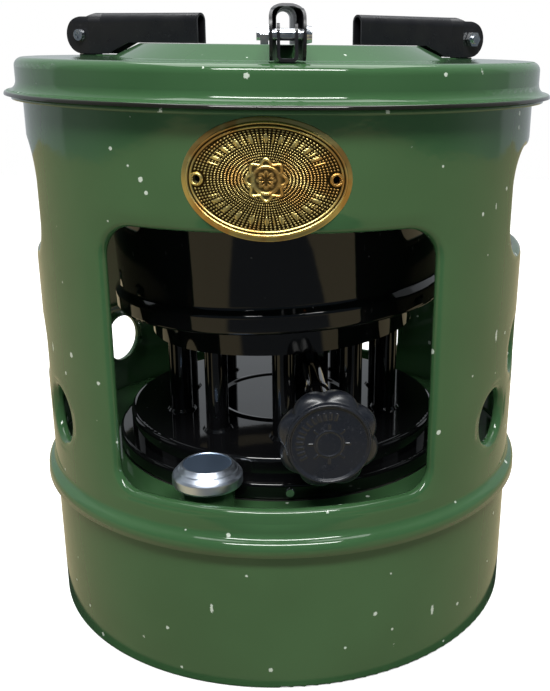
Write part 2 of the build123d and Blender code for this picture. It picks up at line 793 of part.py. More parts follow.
with BuildPart() as burner_plate:
    add(pressed_ring([(plate_radius, base_top), (plate_radius, plate_top),
                      (ridge_radius + ridge_width / 2, plate_top), (ridge_radius, plate_top + ridge_rise),
                      (ridge_radius - ridge_width / 2, plate_top), (0, plate_top)],
                     [plate_bend, ridge_rise, 2 * ridge_rise, ridge_rise], sheet, Side.LEFT))
    with BuildSketch(mechanism_plane):
        with Locations((rack_centre, 0)):
            Rectangle(guide_length + 2 * fit_gap, guide_width + 2 * fit_gap)
        with Locations(*screw_places):
            Circle(housing_screw_radius + fit_gap)
    extrude(amount=-2 * sheet, mode=Mode.SUBTRACT)
    with BuildSketch(Plane.XY.offset(plate_top - 2 * sheet)):
        with PolarLocations(tube_circle, wick_count, start_angle=tube_start):
            Circle(tube_radius + fit_gap)
    extrude(amount=3 * sheet, mode=Mode.SUBTRACT)
burner_plate.part.label = "burner_plate"
export_step(burner_plate.part, "parts/burner_plate.step")

# Base screws: three short screws through the base's wall, their round heads outside
with BuildPart() as base_screws:
    for azimuth in base_screw_azimuths:
        with BuildSketch(facing_plane(azimuth, base_radius)):
            with Locations((0, base_screw_height)):
                Circle(base_screw_head_radius)
        extrude(amount=base_screw_head, taper=base_screw_taper)
        with BuildSketch(facing_plane(azimuth, base_radius)):
            with Locations((0, base_screw_height)):
                Circle(base_screw_radius)
        extrude(amount=-base_screw_length)
base_screws.part.label = "base_screws"
export_step(base_screws.part, "parts/base_screws.step")

# Wick tubes: ten tubes through the plate, each with a collar that rests on it
for index, place in enumerate(PolarLocations(tube_circle, wick_count, start_angle=tube_start)):
    tube_centre = (place.position.X, place.position.Y)
    with BuildPart() as wick_tube:
        with BuildSketch(Plane.XY.offset(tube_bottom)):
            with Locations(tube_centre):
                Circle(tube_radius)
        extrude(amount=tube_top - tube_bottom)
        with BuildSketch(Plane.XY.offset(plate_top)):
            with Locations(tube_centre):
                Circle(collar_radius)
        extrude(amount=collar_height, taper=collar_taper)
        with BuildSketch(Plane.XY.offset(tube_bottom)):
            with Locations(tube_centre):
                Circle(tube_bore)
        extrude(amount=tube_top - tube_bottom, mode=Mode.SUBTRACT)
    wick_tube.part.label = f"wick_tube_{index + 1:02d}"
    export_step(wick_tube.part, f"parts/wick_tube_{index + 1:02d}.step")
    with BuildPart() as wick:
        with BuildSketch(Plane.XY.offset(wick_bottom)):
            with Locations(tube_centre):
                Circle(wick_radius)
        extrude(amount=wick_top - wick_bottom)
        fillet(wick.edges().group_by(Axis.Z)[-1], wick_round)
    wick.part.label = f"wick_{index + 1:02d}"
    export_step(wick.part, f"parts/wick_{index + 1:02d}.step")

# Wick spider: a ring of sockets round a hub, joined by spokes
socket_radius = wick_radius + fit_gap + socket_wall
with BuildPart() as wick_spider:
    with BuildSketch(Plane.XY.offset(spider_height)):
        Circle(tube_circle + spider_ring_width / 2)
        Circle(tube_circle - spider_ring_width / 2, mode=Mode.SUBTRACT)
        Circle(spider_hub_radius)
        with PolarLocations(tube_circle / 2, wick_count // 2, start_angle=tube_start + 180 / wick_count):
            Rectangle(tube_circle, spider_spoke_width)
    extrude(amount=spider_sheet)
    with BuildSketch(Plane.XY.offset(spider_height + (spider_sheet - socket_height) / 2)):
        with PolarLocations(tube_circle, wick_count, start_angle=tube_start):
            Circle(socket_radius)
    extrude(amount=socket_height)
    with BuildSketch(Plane.XY.offset(spider_height - socket_height)):
        with PolarLocations(tube_circle, wick_count, start_angle=tube_start):
            Circle(wick_radius + fit_gap)
    extrude(amount=3 * socket_height, mode=Mode.SUBTRACT)
wick_spider.part.label = "wick_spider"
export_step(wick_spider.part, "parts/wick_spider.step")


def spindle_plane(distance):
    """Plane square to the spindle at a distance from the stove's axis: local X sideways, local Y up."""
    origin = sideways(spindle_turn) * spindle_offset + direction(spindle_turn) * distance
    return Plane(origin=origin + Vector(0, 0, spindle_height), x_dir=sideways(spindle_turn),
                 z_dir=direction(spindle_turn))


def involute(angle):
    """How far an involute has turned where its pressure angle is this."""
    return tan(angle) - angle


def pinion_flank():
    """Points up one side of a pinion tooth whose middle lies along local X: radius and half angle."""
    pressure = radians(pressure_angle)
    base_circle = pinion_pitch_radius * cos(pressure)
    half_at_pitch = (tooth_pitch / 2 - tooth_backlash) / 2 / pinion_pitch_radius
    flank_steps = 5
    flank = [(pinion_root_radius - fit_gap, half_at_pitch + involute(pressure))]
    for step in range(flank_steps + 1):
        radius = base_circle + (pinion_tip_radius - base_circle) * step / flank_steps
        flank.append((radius, half_at_pitch + involute(pressure) - involute(acos(base_circle / radius))))
    return flank


# Lift rack: a flat bar with teeth on the side of the pinion, standing on the spider's hub
rack_foot = spider_height + spider_sheet - spindle_height
tooth_half_pitch = (tooth_pitch / 2 - tooth_backlash) / 2
tooth_slope = tan(radians(pressure_angle))
tip_half = tooth_half_pitch - tooth_addendum * gear_module * tooth_slope
root_half = tooth_half_pitch + tooth_dedendum * gear_module * tooth_slope
first_tooth = -int(rack_teeth_below / tooth_pitch)
last_tooth = int((rack_top - tooth_pitch) / tooth_pitch)
with BuildPart() as lift_rack:
    with BuildSketch(spindle_plane(-rack_width / 2)):
        with Locations((rack_root - spindle_offset, rack_foot)):
            Rectangle(rack_back, rack_top - rack_foot, align=(Align.MAX, Align.MIN))
        for number in range(first_tooth, last_tooth + 1):
            tooth_middle = (number + 0.5) * tooth_pitch
            with BuildLine():
                Polyline((rack_root - spindle_offset - fit_gap, tooth_middle - root_half),
                         (rack_root - spindle_offset, tooth_middle - root_half),
                         (rack_tip - spindle_offset, tooth_middle - tip_half),
                         (rack_tip - spindle_offset, tooth_middle + tip_half),
                         (rack_root - spindle_offset, tooth_middle + root_half),
                         (rack_root - spindle_offset - fit_gap, tooth_middle + root_half), close=True)
            make_face()
    extrude(amount=rack_width)
lift_rack.part.label = "lift_rack"
export_step(lift_rack.part, "parts/lift_rack.step")

# Pinion: twelve involute teeth, fixed on the spindle beside the rack
flank = pinion_flank()
with BuildPart() as pinion:
    with BuildSketch(spindle_plane(-pinion_width / 2)):
        Circle(pinion_root_radius)
        for number in range(pinion_teeth):
            middle = pi + 2 * pi * number / pinion_teeth
            rising = [(radius * cos(middle - half), radius * sin(middle - half)) for radius, half in flank]
            falling = [(radius * cos(middle + half), radius * sin(middle + half)) for radius, half in flank]
            with BuildLine():
                Polyline(*rising, *reversed(falling), close=True)
            make_face()
        Circle(spindle_radius + fit_gap, mode=Mode.SUBTRACT)
    extrude(amount=pinion_width)
pinion.part.label = "pinion"
export_step(pinion.part, "parts/pinion.step")

# Rack guide: a flanged boss in the plate, with a slot for the rack
with BuildPart() as rack_guide:
    with BuildSketch(mechanism_plane.offset(-guide_depth)):
        with Locations((rack_centre, 0)):
            Rectangle(guide_length, guide_width)
    extrude(amount=guide_depth)
    with BuildSketch(mechanism_plane):
        with Locations((rack_centre, 0)):
            Rectangle(guide_flange_length, guide_flange_width)
    extrude(amount=guide_height)
    with BuildSketch(mechanism_plane.offset(-guide_depth)):
        with Locations((rack_centre, 0)):
            Rectangle(rack_slot_length, rack_slot_width)
    extrude(amount=guide_depth + guide_height, mode=Mode.SUBTRACT)
rack_guide.part.label = "rack_guide"
export_step(rack_guide.part, "parts/rack_guide.step")

# Pinion housing: a box over the pinion, with feet in front and behind and a slot above for the rack
housing_height = housing_top - plate_top
with BuildPart() as pinion_housing:
    with BuildSketch(mechanism_plane):
        with Locations((housing_middle, 0)):
            Rectangle(housing_length, 2 * housing_half_depth)
    extrude(amount=housing_height)
    fillet(pinion_housing.edges().filter_by(Axis.Z), 2 * housing_wall)
    fillet(pinion_housing.edges().group_by(Axis.Z)[-1], housing_wall)
    with BuildSketch(mechanism_plane):
        with Locations((housing_middle, 0)):
            Rectangle(foot_length, 2 * (housing_half_depth + housing_foot))
    extrude(amount=housing_wall)
    with BuildSketch(mechanism_plane):
        with Locations((housing_middle, 0)):
            Rectangle(housing_length - 2 * housing_wall, 2 * (housing_half_depth - housing_wall))
    extrude(amount=housing_height - housing_wall, mode=Mode.SUBTRACT)
    with BuildSketch(mechanism_plane):
        with Locations(*screw_places):
            Circle(housing_screw_radius + fit_gap)
    extrude(amount=2 * housing_wall, mode=Mode.SUBTRACT)
    with BuildSketch(mechanism_plane.offset(housing_height - 2 * housing_wall)):
        with Locations((rack_centre, 0)):
            Rectangle(rack_slot_length, rack_slot_width)
    extrude(amount=3 * housing_wall, mode=Mode.SUBTRACT)
    with BuildSketch(spindle_plane(-2 * housing_half_depth)):
        Circle(spindle_radius + fit_gap)
    extrude(amount=4 * housing_half_depth, mode=Mode.SUBTRACT)
pinion_housing.part.label = "pinion_housing"
export_step(pinion_housing.part, "parts/pinion_housing.step")

# Housing screws: four, through the feet and the plate
with BuildPart() as housing_screws:
    with BuildSketch(mechanism_plane.offset(housing_wall)):
        with Locations(*screw_places):
            Circle(housing_screw_head)
    extrude(amount=housing_screw_head_height, taper=housing_screw_taper)
    with BuildSketch(mechanism_plane.offset(housing_wall)):
        with Locations(*screw_places):
            Circle(housing_screw_radius)
    extrude(amount=-housing_screw_length)
housing_screws.part.label = "housing_screws"
export_step(housing_screws.part, "parts/housing_screws.step")

# Spindle: a plain shaft from behind the housing into the knob's hub
hub_back = knob_back - knob_hub_back
hub_floor = knob_face - knob_dish - knob_wall
clip_front = -housing_half_depth - rest_gap
spindle_end = clip_front - clip_width - spindle_tail
with BuildPart() as spindle:
    with BuildSketch(spindle_plane(spindle_end)):
        Circle(spindle_radius)
    extrude(amount=hub_floor - rest_gap - spindle_end)
spindle.part.label = "spindle"
export_step(spindle.part, "parts/spindle.step")

# Spindle clip: a ring behind the housing that keeps the spindle in
with BuildPart() as spindle_clip:
    with BuildSketch(spindle_plane(clip_front)):
        Circle(clip_radius)
        Circle(spindle_radius + fit_gap, mode=Mode.SUBTRACT)
    extrude(amount=-clip_width)
spindle_clip.part.label = "spindle_clip"
export_step(spindle_clip.part, "parts/spindle_clip.step")

# Spindle sleeve: a tube round the spindle from the housing to the knob, with a collar
sleeve_length = hub_back - rest_gap - housing_half_depth
sleeve_bore = spindle_radius + rest_gap
with BuildPart() as spindle_sleeve:
    with BuildSketch(spindle_plane(housing_half_depth)):
        Circle(sleeve_radius)
    extrude(amount=sleeve_length)
    with BuildSketch(spindle_plane(sleeve_collar_distance)):
        Circle(sleeve_collar_radius)
    extrude(amount=sleeve_collar_width)
    with BuildSketch(spindle_plane(housing_half_depth)):
        Circle(sleeve_bore)
    extrude(amount=sleeve_length, mode=Mode.SUBTRACT)
spindle_sleeve.part.label = "spindle_sleeve"
export_step(spindle_sleeve.part, "parts/spindle_sleeve.step")

# Knob: eight lobes round a dished face with a sun in its middle, hollow behind round its hub
lobe_half_angle = pi / knob_lobes
lobe_reach = knob_radius - knob_notch_radius * cos(lobe_half_angle)
lobe_chord = knob_radius**2 + knob_notch_radius**2
lobe_chord -= 2 * knob_radius * knob_notch_radius * cos(lobe_half_angle)
lobe_radius = lobe_chord / (2 * lobe_reach)
knob_dish_radius = knob_face_radius - knob_rim
knob_cavity_radius = knob_notch_radius - knob_wall
with BuildPart() as knob:
    with BuildSketch(spindle_plane(knob_back)):
        Circle(knob_radius - lobe_radius)
        with PolarLocations(knob_radius - lobe_radius, knob_lobes, start_angle=knob_lobe_turn):
            Circle(lobe_radius)
    extrude(amount=knob_grip_depth)
    knob_ends = knob.faces().sort_by(Axis((0, 0, 0), direction(spindle_turn)))
    chamfer(knob_ends[0].edges() + knob_ends[-1].edges(), knob_round)
    with BuildSketch(spindle_plane(knob_back)):
        Circle(knob_face_radius)
    extrude(amount=knob_depth)
    knob_front = knob.faces().sort_by(Axis((0, 0, 0), direction(spindle_turn)))[-1]
    fillet(knob_front.edges(), knob_front_round)
    with BuildSketch(spindle_plane(knob_face - knob_dish)):
        Circle(knob_dish_radius)
    extrude(amount=knob_depth, mode=Mode.SUBTRACT)
    with BuildSketch(spindle_plane(knob_face - knob_dish - fit_gap)):
        Circle(knob_ring_radius + knob_ring_width)
        Circle(knob_ring_radius, mode=Mode.SUBTRACT)
        with PolarLocations((knob_ray_inner + knob_ray_outer) / 2, knob_rays):
            Rectangle(knob_ray_outer - knob_ray_inner, knob_ray_width)
    extrude(amount=knob_relief + fit_gap)
    with BuildSketch(spindle_plane(knob_back)):
        Circle(knob_cavity_radius)
    extrude(amount=hub_floor - knob_back, mode=Mode.SUBTRACT)
    with BuildSketch(spindle_plane(hub_back)):
        Circle(knob_hub_radius)
    extrude(amount=hub_floor - hub_back)
    with BuildSketch(spindle_plane(hub_back)):
        Circle(spindle_radius + fit_gap)
    extrude(amount=hub_floor - hub_back, mode=Mode.SUBTRACT)
knob.part.label = "knob"
export_step(knob.part, "parts/knob.step")

# The chimney unit's own frame: it stands on the left tubes and leans away from the right ones
seat_distance = tube_circle + tube_radius
lean_along = Vector(cos(radians(chimney_lean)), 0, sin(radians(chimney_lean)))
lean_up = Vector(-sin(radians(chimney_lean)), 0, cos(radians(chimney_lean)))
chimney_foot = Vector(-seat_distance, 0, tube_top + rest_gap) + lean_along * seat_distance
chimney_plane = Plane(origin=chimney_foot, x_dir=lean_along, z_dir=lean_up)
chimney_section = Plane(origin=chimney_foot, x_dir=lean_along, z_dir=(0, -1, 0))
chimney_axis = Axis(chimney_foot, lean_up)


def chimney_ring(outline, bends, thickness):
    """A pressing of the chimney unit, drawn in the unit's leaning frame."""
    return pressed_ring(outline, bends, thickness, Side.LEFT, chimney_section, chimney_axis)


# Burner ring: a skirted channel over the tubes, with a hole above each wick and a rim for the drum
with BuildPart() as burner_ring:
    add(chimney_ring([(burner_ring_bore, burner_ring_height), (burner_ring_bore, 0), (burner_ring_radius, 0),
                      (burner_ring_radius, burner_ring_height),
                      (burner_ring_radius + burner_ring_lip, burner_ring_height)],
                     [burner_ring_bend, sheet, sheet / 2], sheet))
    with BuildSketch(chimney_plane.offset(-burner_ring_skirt)):
        Circle(burner_ring_radius)
        Circle(burner_ring_radius - sheet, mode=Mode.SUBTRACT)
    extrude(amount=burner_ring_skirt + 2 * sheet)
    with BuildSketch(chimney_plane.offset(-sheet)):
        with PolarLocations(tube_circle, wick_count, start_angle=tube_start):
            Circle(wick_radius + wick_hole_room)
    extrude(amount=3 * sheet, mode=Mode.SUBTRACT)
burner_ring.part.label = "burner_ring"
export_step(burner_ring.part, "parts/burner_ring.step")

# Chimney drum: a wide tube with a rolled bead below and a turned-in edge above
drum_foot = burner_ring_height + sheet
drum_top = drum_foot + drum_height
bead_top = drum_foot + drum_bead_height
with BuildPart() as chimney_drum:
    add(chimney_ring([(burner_ring_radius + rest_gap, drum_foot), (drum_bead_radius, drum_foot),
                      (drum_bead_radius, bead_top), (drum_radius, bead_top + drum_bead_slope),
                      (drum_radius, drum_top), (drum_radius - drum_top_lip, drum_top)],
                     [drum_bend, drum_bend, drum_bend, drum_bend], sheet))
chimney_drum.part.label = "chimney_drum"
export_step(chimney_drum.part, "parts/chimney_drum.step")

# Air holes of the two flame sleeves: rows of round holes cut through both
with BuildPart() as sleeve_holes:
    for row in range(sleeve_hole_rows):
        height = sheet + sleeve_hole_first + row * sleeve_hole_step
        for column in range(sleeve_hole_columns):
            turn = radians(360 / sleeve_hole_columns * (column + row % 2 / 2))
            outwards = lean_along * cos(turn) + Vector(0, 1, 0) * sin(turn)
            start = chimney_foot + lean_up * height + outwards * (inner_sleeve_radius / 2)
            with BuildSketch(Plane(origin=start, x_dir=lean_up, z_dir=outwards)):
                Circle(sleeve_hole_radius)
            extrude(amount=inner_sleeve_radius)

# Sleeve pins: two crossed pins that hold the sleeves to one another
pin_reach = outer_sleeve_radius + pin_end
with BuildPart() as sleeve_pins:
    for level, along in enumerate((lean_along, Vector(0, 1, 0))):
        height = pin_height + level * (2 * pin_radius + rest_gap)
        start = chimney_foot + lean_up * height - along * pin_reach
        with BuildSketch(Plane(origin=start, x_dir=lean_up, z_dir=along)):
            Circle(pin_radius)
        extrude(amount=2 * pin_reach)
sleeve_pins.part.label = "sleeve_pins"
export_step(sleeve_pins.part, "parts/sleeve_pins.step")

# Room for the pins in both sleeves
with BuildPart() as pin_holes:
    for level, along in enumerate((lean_along, Vector(0, 1, 0))):
        height = pin_height + level * (2 * pin_radius + rest_gap)
        start = chimney_foot + lean_up * height - along * 2 * pin_reach
        with BuildSketch(Plane(origin=start, x_dir=lean_up, z_dir=along)):
            Circle(pin_radius + fit_gap)
        extrude(amount=4 * pin_reach)

# Flame sleeves: two thin perforated tubes that stand in the burner ring on both sides of the wicks
for name, radius in (("outer", outer_sleeve_radius), ("inner", inner_sleeve_radius)):
    with BuildPart() as flame_sleeve:
        with BuildSketch(chimney_plane.offset(sheet)):
            Circle(radius)
            Circle(radius - thin_sheet, mode=Mode.SUBTRACT)
        extrude(amount=sleeve_height)
        add(sleeve_holes.part, mode=Mode.SUBTRACT)
        add(pin_holes.part, mode=Mode.SUBTRACT)
    flame_sleeve.part.label = f"flame_sleeve_{name}"
    export_step(flame_sleeve.part, f"parts/flame_sleeve_{name}.step")

# Flame spreader: a domed cap over the inner sleeve
spreader_radius = inner_sleeve_radius + fit_gap + thin_sheet
sleeve_top = sheet + sleeve_height
spreader_edge = sleeve_top + thin_sheet + rest_gap
with BuildPart() as flame_spreader:
    add(chimney_ring([(spreader_radius, sleeve_top - spreader_skirt), (spreader_radius, spreader_edge),
                      (spreader_flat, spreader_edge + spreader_dome), (0, spreader_edge + spreader_dome)],
                     [thin_sheet, spreader_bend], thin_sheet))
flame_spreader.part.label = "flame_spreader"
export_step(flame_spreader.part, "parts/flame_spreader.step")

print("knob range in degrees", round(knob_turn_range * 180 / pi, 2))
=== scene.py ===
from math import atan2, cos, pi, radians, sin

import bmesh
import bpy
import numpy as np
from mathutils import Matrix


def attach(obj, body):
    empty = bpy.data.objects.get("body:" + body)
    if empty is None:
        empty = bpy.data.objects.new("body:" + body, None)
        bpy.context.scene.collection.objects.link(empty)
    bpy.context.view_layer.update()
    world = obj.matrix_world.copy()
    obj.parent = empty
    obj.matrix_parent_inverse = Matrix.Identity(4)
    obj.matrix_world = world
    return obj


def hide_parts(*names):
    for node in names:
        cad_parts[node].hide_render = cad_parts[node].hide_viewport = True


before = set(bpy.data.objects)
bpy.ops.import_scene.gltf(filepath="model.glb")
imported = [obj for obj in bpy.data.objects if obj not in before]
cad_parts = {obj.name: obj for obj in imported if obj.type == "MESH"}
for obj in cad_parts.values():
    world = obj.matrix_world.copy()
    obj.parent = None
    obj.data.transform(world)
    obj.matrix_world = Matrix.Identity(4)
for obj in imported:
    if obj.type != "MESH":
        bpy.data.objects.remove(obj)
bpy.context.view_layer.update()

# A kerosene stove. The front faces -Y, the base is at z = 0, and shapes are worked out in
# millimetres and put into the meshes in metres, in the frame's own axes.

# Fuel tank: a deep-drawn steel pan with a seamed lid, dipped in green vitreous enamel. While the
# enamel was wet it was spattered with a few white drops, which fused into flecks.


def add_node(tree, kind, settings=None, inputs=None):
    """A node with its settings and sockets filled. A socket given as an input is linked."""
    node = tree.nodes.new(kind)
    for name, value in (settings or {}).items():
        setattr(node, name, value)
    for name, value in (inputs or {}).items():
        if isinstance(value, bpy.types.NodeSocket):
            tree.links.new(value, node.inputs[name])
        else:
            node.inputs[name].default_value = value
    return node


def arithmetic(tree, operation, *values):
    """The result socket of a Math node on one, two or three values or sockets."""
    node = add_node(tree, "ShaderNodeMath", {"operation": operation}, dict(enumerate(values)))
    return node.outputs[0]


def spread(tree, value, low, high, to_low=0.0, to_high=1.0):
    """The value carried from one span to another on a smooth S curve."""
    node = add_node(tree, "ShaderNodeMapRange", {"interpolation_type": "SMOOTHSTEP"},
                    {"Value": value, "From Min": low, "From Max": high, "To Min": to_low, "To Max": to_high})
    return node.outputs["Result"]


def blend_colours(tree, share, first, second):
    """One colour turning into another by a share from 0 to 1."""
    node = tree.nodes.new("ShaderNodeMix")
    node.data_type = "RGBA"
    for socket, value in ((node.inputs[0], share), (node.inputs[6], first), (node.inputs[7], second)):
        if isinstance(value, bpy.types.NodeSocket):
            tree.links.new(value, socket)
        else:
            socket.default_value = value
    return node.outputs[2]


def own_place(tree):
    """Object coordinates, which stay with the piece."""
    return add_node(tree, "ShaderNodeTexCoord").outputs["Object"]


def noise(tree, place, scale, detail):
    """Soft noise about 0.5 at a number of waves per metre."""
    return add_node(tree, "ShaderNodeTexNoise", None,
                    {"Vector": place, "Scale": scale, "Detail": detail}).outputs["Fac"]


def new_finish(name, constants):
    """A material with its Principled surface and its constant values set on the sockets."""
    material = bpy.data.materials.new(name)
    material.use_nodes = True
    surface = material.node_tree.nodes["Principled BSDF"]
    for socket, value in constants.items():
        surface.inputs[socket].default_value = value
    return material, material.node_tree, surface


def bump(tree, surface, height, distance):
    """Height that tilts the surface's normal, with its full swing in metres."""
    node = add_node(tree, "ShaderNodeBump", None, {"Height": height, "Strength": 1.0, "Distance": distance})
    tree.links.new(node.outputs["Normal"], surface.inputs["Normal"])


def new_group(name, inputs, outputs):
    """An empty shader node group with named values in and out, its input and its output node."""
    group = bpy.data.node_groups.new(name, "ShaderNodeTree")
    for socket, value in inputs.items():
        given = group.interface.new_socket(name=socket, in_out="INPUT", socket_type="NodeSocketFloat")
        given.default_value = value
    for socket in outputs:
        group.interface.new_socket(name=socket, in_out="OUTPUT", socket_type="NodeSocketFloat")
    return group, group.nodes.new("NodeGroupInput").outputs, group.nodes.new("NodeGroupOutput").inputs


def placed(tree, group, values):
    """The outputs of a node group placed in a material with its own values."""
    return add_node(tree, "ShaderNodeGroup", {"node_tree": group}, values).outputs


def enamel_surface_group():
    """Flecks, slow clouding and the faint orange peel of fired enamel. A fleck is where the distance
    to the nearest of scattered points is small: of the two kinds, with their density, stretch, tilt
    and edge, one is round and one drawn out along the height."""
    group, given, out = new_group("enamel_surface", {"Fleck Size": 1.0, "Peel Scale": 220.0},
                                  ("Flecks", "Clouding", "Peel"))
    place = own_place(group)
    ragged = spread(group, noise(group, place, 1500.0, 1.0), 0.25, 0.75, -0.012, 0.012)
    kinds = []
    round_kind, drawn_out_kind = (88.0, 1.0, 0.0, 0.078), (62.0, 0.36, 0.22, 0.046)
    for scale, stretch, tilt, edge in (round_kind, drawn_out_kind):
        drawn = add_node(group, "ShaderNodeMapping", None,
                         {"Vector": place, "Scale": (1.0, 1.0, stretch), "Rotation": (tilt, 0.12, 0.0)})
        scattered = add_node(group, "ShaderNodeTexVoronoi", None,
                             {"Vector": drawn.outputs["Vector"], "Scale": scale}).outputs
        chance = add_node(group, "ShaderNodeSeparateColor", None, {"Color": scattered["Color"]})
        shrink = arithmetic(group, "MULTIPLY_ADD", chance.outputs["Red"], 0.9, 0.75)
        reach = arithmetic(group, "MULTIPLY_ADD", scattered["Distance"], shrink, ragged)
        reach = arithmetic(group, "DIVIDE", reach, given["Fleck Size"])
        kinds.append(spread(group, reach, edge, edge * 1.35, 1.0, 0.0))
    group.links.new(arithmetic(group, "MAXIMUM", *kinds), out["Flecks"])
    group.links.new(noise(group, place, 18.0, 2.0), out["Clouding"])
    fine = arithmetic(group, "MULTIPLY", noise(group, place, given["Peel Scale"], 2.0), 0.1)
    group.links.new(arithmetic(group, "ADD", fine, noise(group, place, 34.0, 1.0)), out["Peel"])
    return group


def make_enamel(name, deep, pale, fleck, fleck_size, wave, roughness):
    """Fired enamel: a clouded body colour under a clear glassy face, with fused flecks."""
    material, tree, surface = new_finish(name, {"Roughness": roughness, "IOR": 1.52})
    face = placed(tree, enamel_surface, {"Fleck Size": fleck_size})
    body = blend_colours(tree, spread(tree, face["Clouding"], 0.3, 0.7), deep, pale)
    tree.links.new(blend_colours(tree, face["Flecks"], body, fleck), surface.inputs["Base Color"])
    bump(tree, surface, arithmetic(tree, "MULTIPLY_ADD", face["Flecks"], 0.12, face["Peel"]), wave)
    return material


def wear(material, *names):
    """Gives CAD nodes one material in all their slots."""
    for name in names:
        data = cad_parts[name].data
        data.materials.clear()
        data.materials.append(material)
        data.polygons.foreach_set("material_index", [0] * len(data.polygons))


enamel_surface = enamel_surface_group()
green_deep = (0.043, 0.112, 0.043, 1)
green_pale = (0.05, 0.128, 0.05, 1)
fleck_white = (0.62, 0.7, 0.6, 1)
green_wave = 0.00025
green_roughness = 0.07
green_enamel = make_enamel("green_enamel", green_deep, green_pale, fleck_white, 0.88, green_wave,
                           green_roughness)
wear(green_enamel, "tank_shell", "tank_top")

# Filler: an enamelled neck brazed into the lid, closed by a turned and zinc-plated cap with a soft
# disc inside. The lathe left fine rings on the cap's top and bevel.


merge_distance = 2e-6


def sheet_mesh(name, grids, body, material):
    """A mesh from grids of points in millimetres: each is rows by columns by three, and every cell
    between four neighbours is a face. Meeting edges are merged and faces are turned outwards."""
    points, faces, start = [], [], 0
    for grid in grids:
        rows, columns = grid.shape[:2]
        corner = start + np.arange(rows - 1)[:, None] * columns + np.arange(columns - 1)[None, :]
        cell = np.stack([corner, corner + 1, corner + columns + 1, corner + columns], -1)
        faces.append(cell.reshape(-1, 4))
        points.append(grid.reshape(-1, 3))
        start += rows * columns
    mesh = bpy.data.meshes.new(name)
    mesh.from_pydata(np.concatenate(points) / 1000, [], np.concatenate(faces).tolist())
    shape = bmesh.new()
    shape.from_mesh(mesh)
    bmesh.ops.remove_doubles(shape, verts=shape.verts, dist=merge_distance)
    bmesh.ops.recalc_face_normals(shape, faces=shape.faces)
    shape.to_mesh(mesh)
    shape.free()
    mesh.shade_smooth()
    piece = bpy.data.objects.new(name, mesh)
    bpy.context.scene.collection.objects.link(piece)
    mesh.materials.append(material)
    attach(piece, body)
    return piece


def rounded(outline, bends, steps=6, closed=True):
    """A line of points with its corners turned into arcs: at each corner the arc touches both runs
    at bend / tan(half the corner's angle) from it. A point just outside each arc keeps runs flat."""
    outline = [np.array(point, float) for point in outline]
    count = len(outline)
    outside = 0.15
    line = []
    for index, (corner, bend) in enumerate(zip(outline, bends)):
        if not closed and index in (0, count - 1) or bend == 0:
            line.append(corner)
            continue
        back = outline[index - 1] - corner
        ahead = outline[(index + 1) % count] - corner
        back = back / np.linalg.norm(back)
        ahead = ahead / np.linalg.norm(ahead)
        half = np.arccos(np.clip(back @ ahead, -1, 1)) / 2
        centre = corner + (back + ahead) / np.linalg.norm(back + ahead) * bend / sin(half)
        first = corner + back * bend / np.tan(half)
        last = corner + ahead * bend / np.tan(half)
        share = np.linspace(0, 1, steps + 1)[:, None]
        sweep = pi - 2 * half
        arc = (first - centre) * np.sin((1 - share) * sweep) + (last - centre) * np.sin(share * sweep)
        line += [first + back * outside, *(centre + arc / sin(sweep)), last + ahead * outside]
    if closed:
        line.append(line[0])
    return np.array(line)


def turned(section, centre, along=(0, 0, 1), across=(1, 0, 0), steps=128):
    """A turned form: every section point (r, w) goes round the axis through the centre as
    centre + r (cos(turn) across + sin(turn) up) + w along, with up square to both."""
    along, across = np.array(along, float), np.array(across, float)
    turn = np.linspace(0, 2 * pi, steps + 1)[:, None, None]
    ring = np.cos(turn) * across + np.sin(turn) * np.cross(along, across)
    return np.array(centre, float) + section[None, :, :1] * ring + section[None, :, 1:] * along


def metal_face_group():
    """Blotches and fine drawn scratches of handled metal. The scratches are noise squeezed along X."""
    group, given, out = new_group("metal_face", {"Scale": 300.0}, ("Blotches", "Scratches"))
    place = own_place(group)
    group.links.new(noise(group, place, given["Scale"], 3.0), out["Blotches"])
    drawn = add_node(group, "ShaderNodeMapping", None, {"Vector": place, "Scale": (0.08, 1.0, 1.0)})
    fine = arithmetic(group, "MULTIPLY", given["Scale"], 8.0)
    group.links.new(noise(group, drawn.outputs["Vector"], fine, 2.0), out["Scratches"])
    return group


def make_metal(name, dull, bright, roughness, scratch):
    """Bare or plated metal, its colour and its gloss uneven in blotches, with fine scratches."""
    material, tree, surface = new_finish(name, {"Metallic": 1.0})
    face = placed(tree, metal_face, {"Scale": 300.0})
    share = spread(tree, face["Blotches"], 0.35, 0.65)
    tree.links.new(blend_colours(tree, share, dull, bright), surface.inputs["Base Color"])
    tree.links.new(spread(tree, face["Blotches"], 0.3, 0.7, *roughness), surface.inputs["Roughness"])
    bump(tree, surface, face["Scratches"], scratch)
    return material, tree, surface


def distance_round(tree, middle=(0, 0), stretch=(1, 1)):
    """Distance in metres from an upright line, in a piece's own coordinates, and the place that it is
    the length of: (stretch x - middle x, stretch y - middle y, 0)."""
    flat = add_node(tree, "ShaderNodeMapping", None,
                    {"Vector": own_place(tree), "Location": (-middle[0], -middle[1], 0),
                     "Scale": (*stretch, 0)})
    length = add_node(tree, "ShaderNodeVectorMath", {"operation": "LENGTH"}, {0: flat.outputs["Vector"]})
    return length.outputs["Value"], flat.outputs["Vector"]


filler_radius = 93.2
filler_turn = radians(-17.3)
filler_x = filler_radius * sin(filler_turn)
filler_y = -filler_radius * cos(filler_turn)


